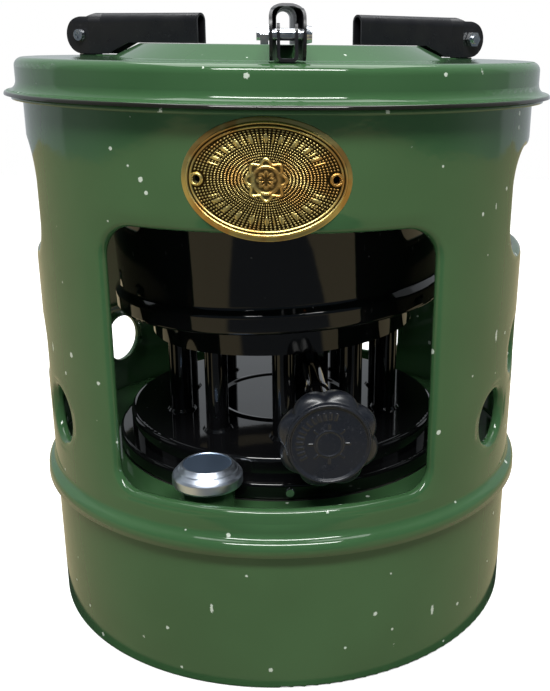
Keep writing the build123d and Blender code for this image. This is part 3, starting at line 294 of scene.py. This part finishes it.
def make_cap_zinc():
    """Blue-passivated zinc: matt and darker on the flat disc, brighter outside it, with lathe rings."""
    material, tree, surface = new_finish("zinc_cap", {"Metallic": 1.0})
    radius, centred = distance_round(tree, (filler_x / 1000, filler_y / 1000))
    disc_edge = 0.0098, 0.0103
    outside = spread(tree, radius, *disc_edge)
    tree.links.new(blend_colours(tree, outside, (0.38, 0.52, 0.74, 1), (0.76, 0.83, 0.95, 1)),
                   surface.inputs["Base Color"])
    tree.links.new(spread(tree, outside, 0, 1, 0.45, 0.34), surface.inputs["Roughness"])
    rings = add_node(tree, "ShaderNodeTexWave", {"wave_type": "RINGS", "rings_direction": "Z"},
                     {"Vector": centred, "Scale": 320.0})
    bump(tree, surface, rings.outputs["Fac"], 0.00001)
    return material


metal_face = metal_face_group()
cap_section = rounded([(0, 94.6), (9.8, 94.55), (10.2, 94.95), (10.7, 94.95), (11.3, 94.1), (12.4, 93.1),
                       (12.7, 92.6), (14.0, 91.3), (14.7, 90.2), (14.75, 86.9), (14.3, 86.0), (12.8, 86.0),
                       (12.7, 92.0), (11.3, 93.5), (0, 93.5)],
                      [0, 0.2, 0.2, 0.3, 0.4, 0.3, 0.3, 0.6, 1.0, 0.5, 0.3, 0.2, 0.3, 0.3, 0], steps=4)
filler_cap = sheet_mesh("filler_cap_turned", [turned(cap_section, (filler_x, filler_y, 0))], "filler_cap",
                        make_cap_zinc())
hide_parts("filler_cap")
wear(green_enamel, "filler_neck")


def make_rubber():
    """Dull nitrile rubber with a fine dusty bloom."""
    material, tree, surface = new_finish("gasket_rubber", {"Roughness": 0.75})
    bloom = noise(tree, own_place(tree), 260.0, 3.0)
    colour = blend_colours(tree, bloom, (0.012, 0.012, 0.012, 1), (0.04, 0.038, 0.035, 1))
    tree.links.new(colour, surface.inputs["Base Color"])
    return material


wear(make_rubber(), "cap_gasket", "base_gasket")

# Casing: one sheet rolled into a cylinder and enamelled. Its foot flares over the tank's seam, its
# top is flanged under the hob, and every opening is cut and drawn inwards, so its edge is soft.

wall_radius = 112.4
column_spans = [(-45, 45, 60), (45, 51, 4), (51, 129, 50), (129, 135, 4),
                (135, 225, 60), (225, 231, 4), (231, 309, 50), (309, 315, 4)]
column_azimuths = np.concatenate([np.linspace(a, b, n + 1)[:-1] for a, b, n in column_spans] + [[315]])
row_heights = np.arange(78.0, 237.0, 2.0)
window = dict(half_width=66.2, bottom=84, top=195, bottom_corner=9, top_corner=14)
hand_hole_half = wall_radius * sin(radians(27.5))
hand_hole = dict(half_width=hand_hole_half, bottom=174, top=219, bottom_corner=15, top_corner=15)
# A patch of wall round an opening has its first and last column, bottom, top, azimuth and opening.
patches = [(0, 60, 78, 206, 0, window), (118, 178, 78, 206, 180, window),
           (66, 112, 168, 226, 90, hand_hole), (184, 230, 168, 226, 270, hand_hole)]
air_radius, low_row, high_row = 12.5, 104, 129
for side_start in (64, 182):
    for number in range(5):
        column = side_start + 10 * number
        middle = high_row if number % 2 else low_row
        span = (114, 144) if number % 2 else (88, 120)
        air_hole = dict(half_width=air_radius, bottom=middle - air_radius, top=middle + air_radius,
                        bottom_corner=air_radius, top_corner=air_radius)
        patches.append((column, column + 10, *span, column_azimuths[column + 5], air_hole))


def outline_runs(opening, across, up):
    """The opening's rounded outline cut at the middle of its four corners into a top, right, bottom
    and left run, each with evenly spaced points and outward normals."""
    half, low, high = opening["half_width"], opening["bottom"], opening["top"]
    upper, lower = opening["top_corner"], opening["bottom_corner"]
    corners = [(-half, high, upper, 180, 90), (half, high, upper, 90, 0),
               (half, low, lower, 0, -90), (-half, low, lower, -90, -180)]
    arcs = []
    for x, z, bend, start, stop in corners:
        centre = np.array([x - np.sign(x) * bend, z + (bend if z == low else -bend)])
        turn = np.radians(np.linspace(start, stop, 41))
        way = np.stack([np.cos(turn), np.sin(turn)], -1)
        arcs.append((centre + bend * way, way))
    runs = []
    for index, count in enumerate((across, up, across, up)):
        first, second = arcs[index], arcs[(index + 1) % 4]
        points = np.concatenate([first[0][20:], second[0][:21]])
        normals = np.concatenate([first[1][20:], second[1][:21]])
        along = np.concatenate([[0], np.cumsum(np.linalg.norm(np.diff(points, axis=0), axis=1))])
        even = np.linspace(0, along[-1], count + 1)
        runs.append((np.stack([np.interp(even, along, points[:, k]) for k in (0, 1)], -1),
                     np.stack([np.interp(even, along, normals[:, k]) for k in (0, 1)], -1)))
    return runs


def opening_patch(first, last, bottom, top, azimuth, opening):
    """The wall round one opening. From the cell's border the wall runs in with a shallow sink,
    radius = R - sink (1 - d / width)^2, rolls over on an arc and ends in a short inward lip."""
    rows = row_heights[(row_heights >= bottom) & (row_heights <= top)]
    columns = np.radians(column_azimuths[first:last + 1] - azimuth)
    x = wall_radius * np.sin(columns)
    borders = [np.stack([x, 0 * x + top], -1), np.stack([0 * rows + x[-1], rows[::-1]], -1),
               np.stack([x[::-1], 0 * x + bottom], -1), np.stack([0 * rows + x[0], rows], -1)]
    runs = outline_runs(opening, last - first, len(rows) - 1)
    border = np.concatenate([run[:-1] for run in borders] + [borders[0][:1]])
    edge = np.concatenate([run[0][:-1] for run in runs] + [runs[0][0][:1]])
    normal = np.concatenate([run[1][:-1] for run in runs] + [runs[0][1][:1]])
    roll, sink, sink_width = (2.4, 0.9, 11.0) if opening is window else (2.6, 0.5, 6.0)
    crest = wall_radius - sink * (1 - roll / sink_width) ** 2
    lip_depths, roll_end = (3.0, 2.2), 84
    layers = [(edge, wall_radius - depth - 0.55 * roll) for depth in lip_depths]
    for angle in np.radians(np.linspace(0, roll_end, 7)):
        layers.append((edge + normal * roll * (1 - cos(angle)), crest - roll + roll * sin(angle)))
    start = edge + normal * roll
    for share in np.linspace(0, 1, 13)[1:] ** 1.4:
        point = start + (border - start) * share
        gone = roll + np.linalg.norm(point - start, axis=1)
        layers.append((point, wall_radius - sink * np.clip(1 - gone / sink_width, 0, 1) ** 2 * (share < 1)))
    grid = []
    for point, radius in layers:
        turn = np.arcsin(point[:, 0] / wall_radius) + radians(azimuth)
        grid.append(np.stack([radius * np.sin(turn), -radius * np.cos(turn), point[:, 1]], -1))
    return np.array(grid)


def wall_rings(line):
    """Rings of the casing at its lattice of azimuths, one for each (radius, height) of the line."""
    turn = np.radians(column_azimuths)[None, :]
    radius, height = line[:, :1], line[:, 1:] + 0 * turn
    return np.stack([radius * np.sin(turn), -radius * np.cos(turn), height], -1)


def casing_grids():
    """The flared foot, the plain wall between the openings, the patches round them and the flange."""
    foot = rounded([(116.2, 65.5), (116.0, 70.4), (112.4, 73.0), (112.4, 78.0)], [0, 3.6, 3.6, 0], 7,
                   closed=False)
    flange = rounded([(112.4, 236.0), (112.4, 238.2), (116.0, 238.2), (116.0, 237.2)], [0, 1.6, 0.3, 0], 5,
                     closed=False)
    grids = [wall_rings(foot[foot[:, 1] <= 78.0]), wall_rings(flange)]
    plain = np.ones((len(row_heights) - 1, len(column_azimuths) - 1), bool)
    for first, last, bottom, top, _, _ in patches:
        plain[(row_heights[:-1] >= bottom) & (row_heights[1:] <= top), first:last] = False
    full = wall_rings(np.stack([0 * row_heights + wall_radius, row_heights], -1))
    for row in range(plain.shape[0]):
        edges = np.flatnonzero(np.diff(np.concatenate([[0], plain[row].astype(int), [0]])))
        grids += [full[row:row + 2, start:stop + 1] for start, stop in edges.reshape(-1, 2)]
    return grids + [opening_patch(*patch) for patch in patches]


def cut_round(piece, places, radius):
    """Deletes the faces whose middle is nearer than a radius to one of the places, in millimetres."""
    shape = bmesh.new()
    shape.from_mesh(piece.data)
    middles = np.array([face.calc_center_median()[:] for face in shape.faces]) * 1000
    near = np.min([np.linalg.norm(middles - place, axis=1) for place in places], axis=0) < radius
    bmesh.ops.delete(shape, geom=[face for face, close in zip(shape.faces, near) if close], context="FACES")
    shape.to_mesh(piece.data)
    shape.free()


def turned_out(piece):
    """Turns the faces of an upright open wall so that they look away from the stove's axis."""
    shape = bmesh.new()
    shape.from_mesh(piece.data)
    if sum(f.normal.xy.dot(f.calc_center_median().xy) * f.calc_area() for f in shape.faces) < 0:
        bmesh.ops.reverse_faces(shape, faces=shape.faces)
    shape.to_mesh(piece.data)
    shape.free()


plate_height = 214.6
eyelet_turn = radians(12.69)
eyelet_hole = 2.2
sheet = 0.001
eyelet_ways = [np.array([sin(side * eyelet_turn), -cos(side * eyelet_turn), 0]) for side in (-1, 1)]
casing = sheet_mesh("casing_pressed", casing_grids(), "stove", green_enamel)
turned_out(casing)
cut_round(casing, [way * wall_radius + (0, 0, plate_height) for way in eyelet_ways], eyelet_hole)
thickness = casing.modifiers.new("sheet", "SOLIDIFY")
thickness.thickness = sheet
thickness.offset = -1
thickness.use_even_offset = False
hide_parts("casing")

# Nameplate: thin brass stamped with a double rim, a field of small dots, a plain rosette and a
# beaded band, then toned dark in its hollows and held by two hollow brass rivets.


def make_brass(name, hollows):
    """Brass, bright on its crests and toned brown in its hollows, with uneven warm patches."""
    material, tree, surface = new_finish(name, {"Metallic": 1.0})
    face = placed(tree, metal_face, {"Scale": 60.0})
    bright = blend_colours(tree, spread(tree, face["Blotches"], 0.5, 0.6), (1.0, 0.8, 0.3, 1),
                           (0.85, 0.5, 0.15, 1))
    if hollows:
        relief = add_node(tree, "ShaderNodeAttribute", {"attribute_name": "relief"}).outputs["Fac"]
        bright = blend_colours(tree, spread(tree, relief, 0.1, 0.9), (0.05, 0.032, 0.01, 1), bright)
    tree.links.new(bright, surface.inputs["Base Color"])
    tree.links.new(spread(tree, face["Blotches"], 0.3, 0.7, 0.3, 0.42), surface.inputs["Roughness"])
    return material


def ridge(distance, width):
    """A round ridge: 1 on its crest and falling off as exp(-(distance / width)^2)."""
    return np.exp(-(distance / width) ** 2)


def plate_relief(x, z, share, turn, edge):
    """Height and brightness over the plate. The rims are round ridges at fixed distances from the
    edge, the dots are raised cosines on rings, and the rosette and the beads are ridges too."""
    outer_rim, inner_rim, rim_width, field_start = 2.15, 3.45, 0.34, 4.1
    dot_rings, dots_round, petals, bead_waves, rivet_x = 15, 100, 8, 12, 24.7
    rims = np.minimum(ridge(edge - outer_rim, rim_width) + ridge(edge - inner_rim, rim_width), 1)
    height = 0.18 + 0.38 * np.clip(edge / 1.7, 0, 1) + 0.42 * rims
    tone = np.where(edge < 1.7, 0.6, 0.05 + rims)
    field = np.clip((edge - field_start) / 0.3, 0, 1)
    ring_wave = np.cos((share - 0.2) / 0.6 * 2 * pi * dot_rings)
    dots = (0.5 + 0.5 * ring_wave) * (0.5 + 0.5 * np.cos(turn * dots_round))
    dots = np.clip((dots - 0.15) / 0.6, 0, 1)
    distance, spoke = np.hypot(x, z), np.arctan2(z, x)
    scallop = 0.8 * np.cos(petals * spoke)
    motif = np.maximum.reduce([ridge(distance - 4.7, 0.42), ridge(distance - 6.5 - scallop, 0.42),
                               ridge(distance - 1.7 - 1.1 * np.abs(np.cos(petals / 2 * spoke)), 0.4)])
    inside = np.clip((7.6 + scallop - distance) / 0.3, 0, 1)
    across = (share - 0.66) * 26
    beads = np.clip(1.15 - np.hypot(across / 1.7, np.sin(turn * bead_waves) * 2.3), 0, 1)
    reels = np.clip(1.0 - np.hypot(across / 2.2, np.cos(turn * bead_waves) * 6.0), 0, 1)
    band = np.maximum(beads, reels) * (np.abs(np.sin(turn)) > 0.3)
    near_rivet = np.clip((3.3 - np.hypot(np.abs(x) - rivet_x, z)) / 0.3, 0, 1)
    quiet = 1 - np.maximum.reduce([inside, np.clip(band * 3, 0, 1), near_rivet])
    height = height + field * (0.22 * dots * quiet + 0.38 * motif * inside + 0.4 * np.sqrt(band))
    tone = tone + field * (0.9 * dots * quiet + (motif + 0.25) * inside + 1.2 * np.sqrt(band))
    return np.where(edge < 1e-6, 0.1, height), np.clip(tone, 0, 1)


plate_back, plate_middle, plate_bore = 112.45, 113.1, 1.9


def nameplate_grid():
    """An ellipse bent round the casing: x = share a cos(turn), z = share b sin(turn), and the radius
    is the wall's plus the relief."""
    across, up = 30.41, 21.8
    shares = np.concatenate([np.linspace(0, 0.2, 9)[:-1], np.linspace(0.2, 0.8, 67)[:-1],
                             np.linspace(0.8, 1, 32)])
    share, turn = np.meshgrid(shares, np.linspace(0, 2 * pi, 601), indexing="ij")
    x, z = share * across * np.cos(turn), share * up * np.sin(turn)
    edge = (1 - share) * across * up / np.hypot(across * np.sin(turn), up * np.cos(turn))
    height, tone = plate_relief(x, z, share, turn, edge)
    azimuth = np.arcsin(x / wall_radius)
    radius = plate_back + height
    return np.stack([radius * np.sin(azimuth), -radius * np.cos(azimuth), plate_height + z], -1), tone


def store_tone(piece, points, tone):
    """Stores the brightness of each grid point in "relief", on the vertex that is at its place."""
    attribute = piece.data.attributes.new("relief", "FLOAT", "POINT")
    places = np.zeros(len(piece.data.vertices) * 3)
    piece.data.vertices.foreach_get("co", places)
    keys = np.round(points.reshape(-1, 3), 2).tolist()
    known = {tuple(key): value for key, value in zip(keys, tone.ravel())}
    found = np.round(places.reshape(-1, 3) * 1000, 2).tolist()
    attribute.data.foreach_set("value", [known.get(tuple(key), 0.5) for key in found])


plate_points, plate_tone = nameplate_grid()
nameplate = sheet_mesh("nameplate_stamped", [plate_points], "stove", make_brass("toned_brass", True))
cut_round(nameplate, [way * plate_middle + (0, 0, plate_height) for way in eyelet_ways], plate_bore)
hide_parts("nameplate")
store_tone(nameplate, plate_points, plate_tone)

rivet_section = rounded([(1.4, 110.4), (1.4, 113.35), (1.6, 113.75), (2.1, 113.8), (2.5, 113.3), (2.5, 112.9),
                         (1.85, 112.9), (1.85, 111.3), (2.4, 111.2), (2.4, 110.6)],
                        [0.2, 0.2, 0.25, 0.3, 0.2, 0.1, 0.1, 0.1, 0.2, 0.2], steps=3)
rivets = sheet_mesh("nameplate_eyelets_rolled",
                    [turned(rivet_section, (0, 0, plate_height), way, (way[1], -way[0], 0), 48)
                     for way in eyelet_ways], "stove", make_brass("rivet_brass", False))
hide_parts("nameplate_eyelets")

# Hob: a pressed pan in the same enamel, going dark in a thin band at the outer edge of its rim. A raised
# ring goes round the flame opening, and three flat pads with a slot on each side carry the hinges.


def make_hob_enamel():
    """The green enamel with smaller flecks, going dark in a thin band at the rim's outer edge."""
    material = make_enamel("hob_enamel", green_deep, green_pale, fleck_white, 0.8, green_wave,
                           green_roughness)
    tree = material.node_tree
    colour = tree.nodes["Principled BSDF"].inputs["Base Color"]
    # Beyond these radii from the axis the colour turns dark: a thin band at the rim's outer edge.
    dark_band_radii = 0.1191, 0.1195
    dark = spread(tree, distance_round(tree)[0], *dark_band_radii)
    tree.links.new(blend_colours(tree, dark, colour.links[0].from_socket, (0.012, 0.012, 0.008, 1)), colour)
    return material


wear(make_hob_enamel(), "hob")

# Pot supports: folded channels of black-lacquered steel, each on a bracket of the same finish. The
# lacquer was stoved on, so it is satin, with a little dust in it.


def coated_face_group():
    """Specks and slow patches of a coated or moulded face."""
    group, given, out = new_group("coated_face", {"Scale": 400.0}, ("Specks", "Patches"))
    place = own_place(group)
    group.links.new(spread(group, noise(group, place, given["Scale"], 2.0), 0.62, 0.74), out["Specks"])
    slow = arithmetic(group, "MULTIPLY", given["Scale"], 0.12)
    group.links.new(noise(group, place, slow, 3.0), out["Patches"])
    return group


def make_coated(name, body, speck, roughness, scale, grain, constants):
    """A dark coated or moulded finish: uneven gloss, fine grain and a few dull specks."""
    material, tree, surface = new_finish(name, constants)
    face = placed(tree, coated_face, {"Scale": scale})
    tree.links.new(blend_colours(tree, face["Specks"], body, speck), surface.inputs["Base Color"])
    tree.links.new(spread(tree, face["Patches"], 0.3, 0.7, *roughness), surface.inputs["Roughness"])
    bump(tree, surface, face["Patches"], grain)
    return material


coated_face = coated_face_group()
black_lacquer = make_coated("black_lacquer", (0.011, 0.011, 0.013, 1), (0.022, 0.022, 0.025, 1),
                            (0.26, 0.38), 900.0, 0.00012, {"IOR": 1.5})
wear(black_lacquer, "pot_support_front", "pot_support_right", "pot_support_left", "hinge_brackets")

# Fasteners: a bolt and a nut through each hinge and the small screws of the burner, all bright
# zinc-plated steel.

zinc_plate, _, _ = make_metal("zinc_plate", (0.6, 0.63, 0.67, 1), (0.78, 0.8, 0.84, 1), (0.14, 0.26),
                              0.000004)
wear(zinc_plate, "support_bolts", "support_nuts", "base_screws", "housing_screws")

# Burner: a base, a plate with ten wick tubes, and the housing, guide and sleeve of the wick lift,
# all dipped in glossy black enamel.

black_enamel = make_enamel("black_enamel", (0.0035, 0.0036, 0.004, 1), (0.005, 0.005, 0.0058, 1),
                           (0.12, 0.12, 0.12, 1), 0.3, 0.00012, 0.06)
tubes = [f"wick_tube_{number:02d}" for number in range(1, 11)]
wear(black_enamel, "burner_base", "burner_plate", "rack_guide", "pinion_housing", "spindle_sleeve", *tubes)

# Wicks: ten braided cotton cords in the sockets of the wick carrier. Their upper ends are charred.


def make_cotton():
    """Cotton, cream with soft stains, going brown and then black at the burnt upper end."""
    material, tree, surface = new_finish("braided_cotton", {"Roughness": 0.9, "Sheen Weight": 0.3})
    place = own_place(tree)
    cream = blend_colours(tree, noise(tree, place, 240.0, 3.0), (0.56, 0.5, 0.38, 1), (0.76, 0.72, 0.6, 1))
    height = add_node(tree, "ShaderNodeSeparateXYZ", None, {"Vector": place}).outputs["Z"]
    uneven = arithmetic(tree, "MULTIPLY_ADD", noise(tree, place, 500.0, 2.0), 0.003, height)
    scorched = blend_colours(tree, spread(tree, uneven, 0.1235, 0.1285), cream, (0.16, 0.09, 0.04, 1))
    charred = blend_colours(tree, spread(tree, uneven, 0.1265, 0.1305), scorched, (0.012, 0.011, 0.01, 1))
    tree.links.new(charred, surface.inputs["Base Color"])
    bump(tree, surface, noise(tree, place, 2600.0, 2.0), 0.0002)
    return material


wick_count, wick_circle, first_wick = 10, 52, -87.1
wick_radius, strand_depth, strands, lay_length = 4.1, 0.4, 6, 9


def wick_grid(number):
    """A round braid: the radius rises where strands of either hand cross over, as
    R - depth (1 - max(cos(6 turn + p z), cos(6 turn - p z))) / 2, and closes at both ends."""
    centre = radians(first_wick + 360 / wick_count * number)
    height = np.concatenate([[8.0, 8.0, 8.4], np.linspace(9.0, 129.0, 160), [129.6, 130.0, 130.0]])[:, None]
    full = np.concatenate([[0.0, 0.8, 0.95], np.ones(160), [0.92, 0.72, 0.0]])[:, None]
    turn = np.linspace(0, 2 * pi, 49)[None, :]
    lay = 2 * pi * height / lay_length
    crossing = np.maximum(np.cos(strands * turn + lay), np.cos(strands * turn - lay))
    radius = full * (wick_radius - strand_depth * (1 - crossing) / 2)
    return np.stack([wick_circle * cos(centre) + radius * np.cos(turn),
                     wick_circle * sin(centre) + radius * np.sin(turn), height + 0 * turn], -1)


braided_cotton = make_cotton()
for number in range(wick_count):
    name = f"wick_{number + 1:02d}"
    wick = sheet_mesh(name + "_braided", [wick_grid(number)], "wick_carrier", braided_cotton)
    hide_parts(name)

# Wick lift: the carrier with its rack, and the spindle with its pinion and clip, in plain steel
# that was pressed and cut and left uncoated.

plain_steel, _, _ = make_metal("plain_steel", (0.3, 0.3, 0.31, 1), (0.46, 0.46, 0.47, 1), (0.3, 0.46),
                               0.000008)
wear(plain_steel, "wick_spider", "lift_rack", "pinion", "spindle", "spindle_clip", "sleeve_pins")

# Knob: moulded from dark phenolic plastic, with eight lobes behind a round dished face. The face
# has a raised ring with rays in its middle and a row of grip bars on one side.


def softened(line, rounds):
    """A line with its corners cut: each run keeps its parts from a quarter to three quarters."""
    for _ in range(rounds):
        cut = np.stack([0.75 * line[:-1] + 0.25 * line[1:], 0.25 * line[:-1] + 0.75 * line[1:]], 1)
        line = np.concatenate([line[:1], cut.reshape(-1, line.shape[1]), line[-1:]])
    return line


def knob_face_relief(radius, turn):
    """Height on the face: a ring, eight rays and a row of short radial bars on one side, each with
    rounded flanks."""
    raised, ray_step, bar_step = 0.42, pi / 4, radians(11)
    ring = ridge(radius - 5.45, 0.45)
    ray_turn = (turn / ray_step + 0.5) % 1 - 0.5
    rays = ridge(ray_turn * ray_step * radius, 0.4) * np.clip((1.3 - np.abs(radius - 7.4)) / 0.3, 0, 1)
    bar_turn = (turn / bar_step + 0.5) % 1 - 0.5
    on_side = (np.degrees(turn) > 70) & (np.degrees(turn) < 213)
    bars = ridge(bar_turn * bar_step * radius, 0.55)
    bars = bars * np.clip((1.7 - np.abs(radius - 11.8)) / 0.4, 0, 1)
    return raised * np.maximum.reduce([ring, rays, bars * on_side])


spindle_turn = radians(5.5)
spindle_side, spindle_height = 13, 110.0
lobe_count, lobe_centre, lobe_radius, lobe_turn = 8, 12.31, 8.54, radians(27.5)
knob_radius = lobe_centre + lobe_radius
face_points, face_radius, face_out = 65, 15.0, 105


def knob_grid():
    """A profile carried round the spindle. Each profile point has a radius, a share of the lobes and
    a distance out: r = radius + share (lobe(turn) - knob radius), where lobe is eight arcs of radius s
    centred c from the axis, lobe = c cos(a) + sqrt(s^2 - c^2 sin^2(a))."""
    face = np.stack([np.linspace(0, face_radius, face_points), np.zeros(face_points),
                     np.full(face_points, face_out)], -1)
    back = np.array([(15.3, 0, 105.1), (15.7, 0, 105.6), (16.1, 0, 106.1), (16.8, 0, 106.1),
                     (17.2, 0, 105.3), (17.3, 0.05, 104.5), (17.8, 0.2, 104.1), (18.9, 0.5, 103.5),
                     (20.1, 0.85, 102.5), (20.85, 1, 101.1), (20.85, 1, 99.4), (20.3, 1, 97.0),
                     (19.3, 0.9, 94.0), (18.4, 0.8, 91.2), (17.8, 0.6, 90.2), (16.5, 0.2, 90.2),
                     (15.6, 0, 90.2), (15.5, 0, 91), (15.5, 0, 101), (15, 0, 101.5), (6.5, 0, 101.5),
                     (6, 0, 101), (6, 0, 88.8), (5.6, 0, 88.2), (3.4, 0, 88.2), (3.05, 0, 88.6),
                     (3.05, 0, 101.2), (0, 0, 101.2)], float)
    line = np.concatenate([face, softened(back, 2)])
    turn = np.linspace(0, 2 * pi, 321)[:, None]
    step = 2 * pi / lobe_count
    lobe_way = (turn - lobe_turn + step / 2) % step - step / 2
    lobe = lobe_centre * np.cos(lobe_way) + np.sqrt(lobe_radius ** 2 - (lobe_centre * np.sin(lobe_way)) ** 2)
    radius = line[None, :, 0] + line[None, :, 1] * (lobe - knob_radius)
    out = line[None, :, 2] + knob_face_relief(radius, turn) * (np.arange(len(line)) < face_points)[None, :]
    side = np.array([cos(spindle_turn), sin(spindle_turn), 0])
    ahead = np.array([sin(spindle_turn), -cos(spindle_turn), 0])
    up = np.array([0, 0, 1])
    return (spindle_side * side + spindle_height * up + (radius * np.cos(turn))[:, :, None] * side
            + (radius * np.sin(turn))[:, :, None] * up + out[:, :, None] * ahead)


knob_plastic = make_coated("knob_plastic", (0.012, 0.014, 0.02, 1), (0.03, 0.032, 0.04, 1),
                           (0.24, 0.36), 700.0, 0.0001, {"IOR": 1.55})
knob = sheet_mesh("knob_moulded", [knob_grid()], "knob", knob_plastic)
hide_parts("knob")

# Chimney unit: an enamelled ring and drum, and inside them two perforated sleeves under a domed
# spreader, of bare steel that the flame has turned straw, brown and blue from the top down.


def make_scorched():
    """Heat-tinted steel: the tint changes with height above the ring, made uneven by noise."""
    material, tree, surface = make_metal("scorched_steel", (0.2, 0.18, 0.16, 1), (0.3, 0.28, 0.26, 1),
                                         (0.38, 0.55), 0.00001)
    place = own_place(tree)
    height = add_node(tree, "ShaderNodeSeparateXYZ", None, {"Vector": place}).outputs["Z"]
    level = arithmetic(tree, "MULTIPLY_ADD", noise(tree, place, 40.0, 2.0), 0.05, height)
    tint = (0.34, 0.33, 0.32, 1)
    for start, stop, colour in ((0.17, 0.2, (0.4, 0.3, 0.16, 1)), (0.2, 0.225, (0.22, 0.12, 0.09, 1)),
                                (0.225, 0.25, (0.1, 0.12, 0.2, 1)), (0.25, 0.265, (0.09, 0.085, 0.08, 1))):
        tint = blend_colours(tree, spread(tree, level, start, stop), tint, colour)
    tree.links.new(tint, surface.inputs["Base Color"])
    return material


wear(black_enamel, "burner_ring", "chimney_drum")
wear(make_scorched(), "flame_sleeve_outer", "flame_sleeve_inner", "flame_spreader")

# Camera, floor and light: a pale table, white paper behind and beside it and a darker room in
# front, with one long soft panel above the camera and a wide one over the stove. In reflections
# the table is warm, with a painted shadow in front of the stove and painted contact shade where the foot
# stands.


def place_camera():
    """The photograph's viewpoint: 446 mm from the stove's axis and 260 mm up, 2.8 degrees round to
    its right, looking 19 degrees down, with the picture's middle left of the optical axis."""
    yaw, pitch, roll, station = radians(3.38), radians(19.22), radians(0.64), radians(2.8)
    away, high = 0.44607, 0.26
    picture_width, picture_height, focal, axis_x, axis_y, sensor = 550, 691, 938, 335.8, 371.1, 36
    ahead = np.array([sin(yaw) * cos(pitch), cos(yaw) * cos(pitch), -sin(pitch)])
    right = np.array([cos(yaw), -sin(yaw), 0])
    above = np.cross(right, ahead)
    right, above = cos(roll) * right + sin(roll) * above, cos(roll) * above - sin(roll) * right
    turn = Matrix.Rotation(station, 4, "Z")
    aim = Matrix([(*row, 0) for row in np.stack([right, above, -ahead], -1).tolist()] + [(0, 0, 0, 1)])
    data = bpy.data.cameras.new("camera")
    camera = bpy.data.objects.new("camera", data)
    bpy.context.scene.collection.objects.link(camera)
    camera.matrix_world = turn @ Matrix.Translation((0, -away, high)) @ aim
    data.lens = focal / picture_height * sensor
    data.sensor_width = sensor
    data.shift_x = (picture_width / 2 - axis_x) / picture_height
    data.shift_y = (axis_y - picture_height / 2) / picture_height
    data.clip_start = 0.01
    bpy.context.scene.camera = camera


floor_size, floor_y = 4.0, -0.5


def make_paper():
    """Pale paper, white where the camera sees it. A glossy face reflects it as warm, with a painted
    shadow, a dark oval, in front of the stove, and painted contact shade, black, where the foot stands."""
    material, tree, surface = new_finish("pale_paper", {"Roughness": 0.9})
    ray = add_node(tree, "ShaderNodeLightPath").outputs
    from_painted_shadow_oval, _ = distance_round(tree, (0.04, -0.6), (2, 1))
    from_axis_painted_shade, _ = distance_round(tree, (0, -floor_y))
    painted_shadow_ground, warm_ground = (0.06, 0.07, 0.08, 1), (0.5, 0.42, 0.25, 1)
    # Painted shadow: a dark oval on the table as glossy faces see it, in front of the stove.
    ground = blend_colours(tree, spread(tree, from_painted_shadow_oval, 0.84, 0.9), painted_shadow_ground, warm_ground)
    # Painted contact shade: the table is black under and round the foot, as glossy faces see it.
    ground = blend_colours(tree, spread(tree, from_axis_painted_shade, 0.1165, 0.119), (0, 0, 0, 1), ground)
    pale = blend_colours(tree, ray["Is Camera Ray"], (0.4, 0.39, 0.36, 1), (0.85, 0.85, 0.84, 1))
    colour = blend_colours(tree, ray["Is Glossy Ray"], pale, (0, 0, 0, 1))
    tree.links.new(colour, surface.inputs["Base Color"])
    shine = blend_colours(tree, ray["Is Glossy Ray"], (1, 1, 1, 1), ground)
    tree.links.new(shine, surface.inputs["Emission Color"])
    glow = arithmetic(tree, "MULTIPLY_ADD", ray["Is Camera Ray"], 0.6, ray["Is Glossy Ray"])
    tree.links.new(glow, surface.inputs["Emission Strength"])
    return material


place_camera()
bpy.context.scene.view_settings.view_transform = "Standard"
bpy.ops.mesh.primitive_plane_add(size=floor_size, location=(0, floor_y, 0))
floor = bpy.context.object
floor.name = "floor"
floor.data.materials.append(make_paper())


def add_panel(name, place, aim, size, power, colour):
    """A rectangular lamp that shines from its place towards a point."""
    data = bpy.data.lights.new(name, "AREA")
    data.shape = "RECTANGLE"
    data.size, data.size_y = size
    data.energy = power
    data.color = colour
    lamp = bpy.data.objects.new(name, data)
    bpy.context.scene.collection.objects.link(lamp)
    lamp.location = place
    way = np.array(aim) - np.array(place)
    lamp.rotation_euler = (atan2(np.hypot(way[0], way[1]), -way[2]), 0, -atan2(way[0], way[1]))


add_panel("front_panel", (0.02, -0.8, 1.2), (0, 0, 0.15), (1.0, 0.22), 17.0, (1, 1, 0.98))
add_panel("ceiling_panel", (0, 0.2, 1.5), (0, 0, 0.1), (1.4, 1.2), 19.0, (1, 1, 1))


def make_surroundings():
    """White paper to the camera. In reflections it is pale behind the stove, greyer beside it and
    dark in front, by the ray's direction: its share backwards is (y - 0.1 x) / sqrt(x^2 + y^2)."""
    world = bpy.context.scene.world or bpy.data.worlds.new("surroundings")
    bpy.context.scene.world = world
    world.use_nodes = True
    tree = world.node_tree
    background = tree.nodes["Background"]
    way = add_node(tree, "ShaderNodeTexCoord").outputs["Generated"]
    parts = add_node(tree, "ShaderNodeSeparateXYZ", None, {"Vector": way})
    squares = [arithmetic(tree, "POWER", parts.outputs[axis], 2.0) for axis in ("X", "Y")]
    level = arithmetic(tree, "SQRT", arithmetic(tree, "ADD", *squares))
    turned_back = arithmetic(tree, "MULTIPLY_ADD", parts.outputs["X"], -0.1, parts.outputs["Y"])
    backwards = arithmetic(tree, "DIVIDE", turned_back, arithmetic(tree, "MAXIMUM", level, 0.001))
    dark_room, grey_side = (0.07, 0.09, 0.11, 1), (0.28, 0.3, 0.31, 1)
    beside = blend_colours(tree, spread(tree, backwards, -0.5, 0.1), dark_room, grey_side)
    colour = blend_colours(tree, spread(tree, backwards, 0.31, 0.37), beside, (0.5, 0.53, 0.56, 1))
    straight = add_node(tree, "ShaderNodeLightPath").outputs["Is Camera Ray"]
    tree.links.new(blend_colours(tree, straight, colour, (1, 1, 1, 1)), background.inputs["Color"])


make_surroundings()
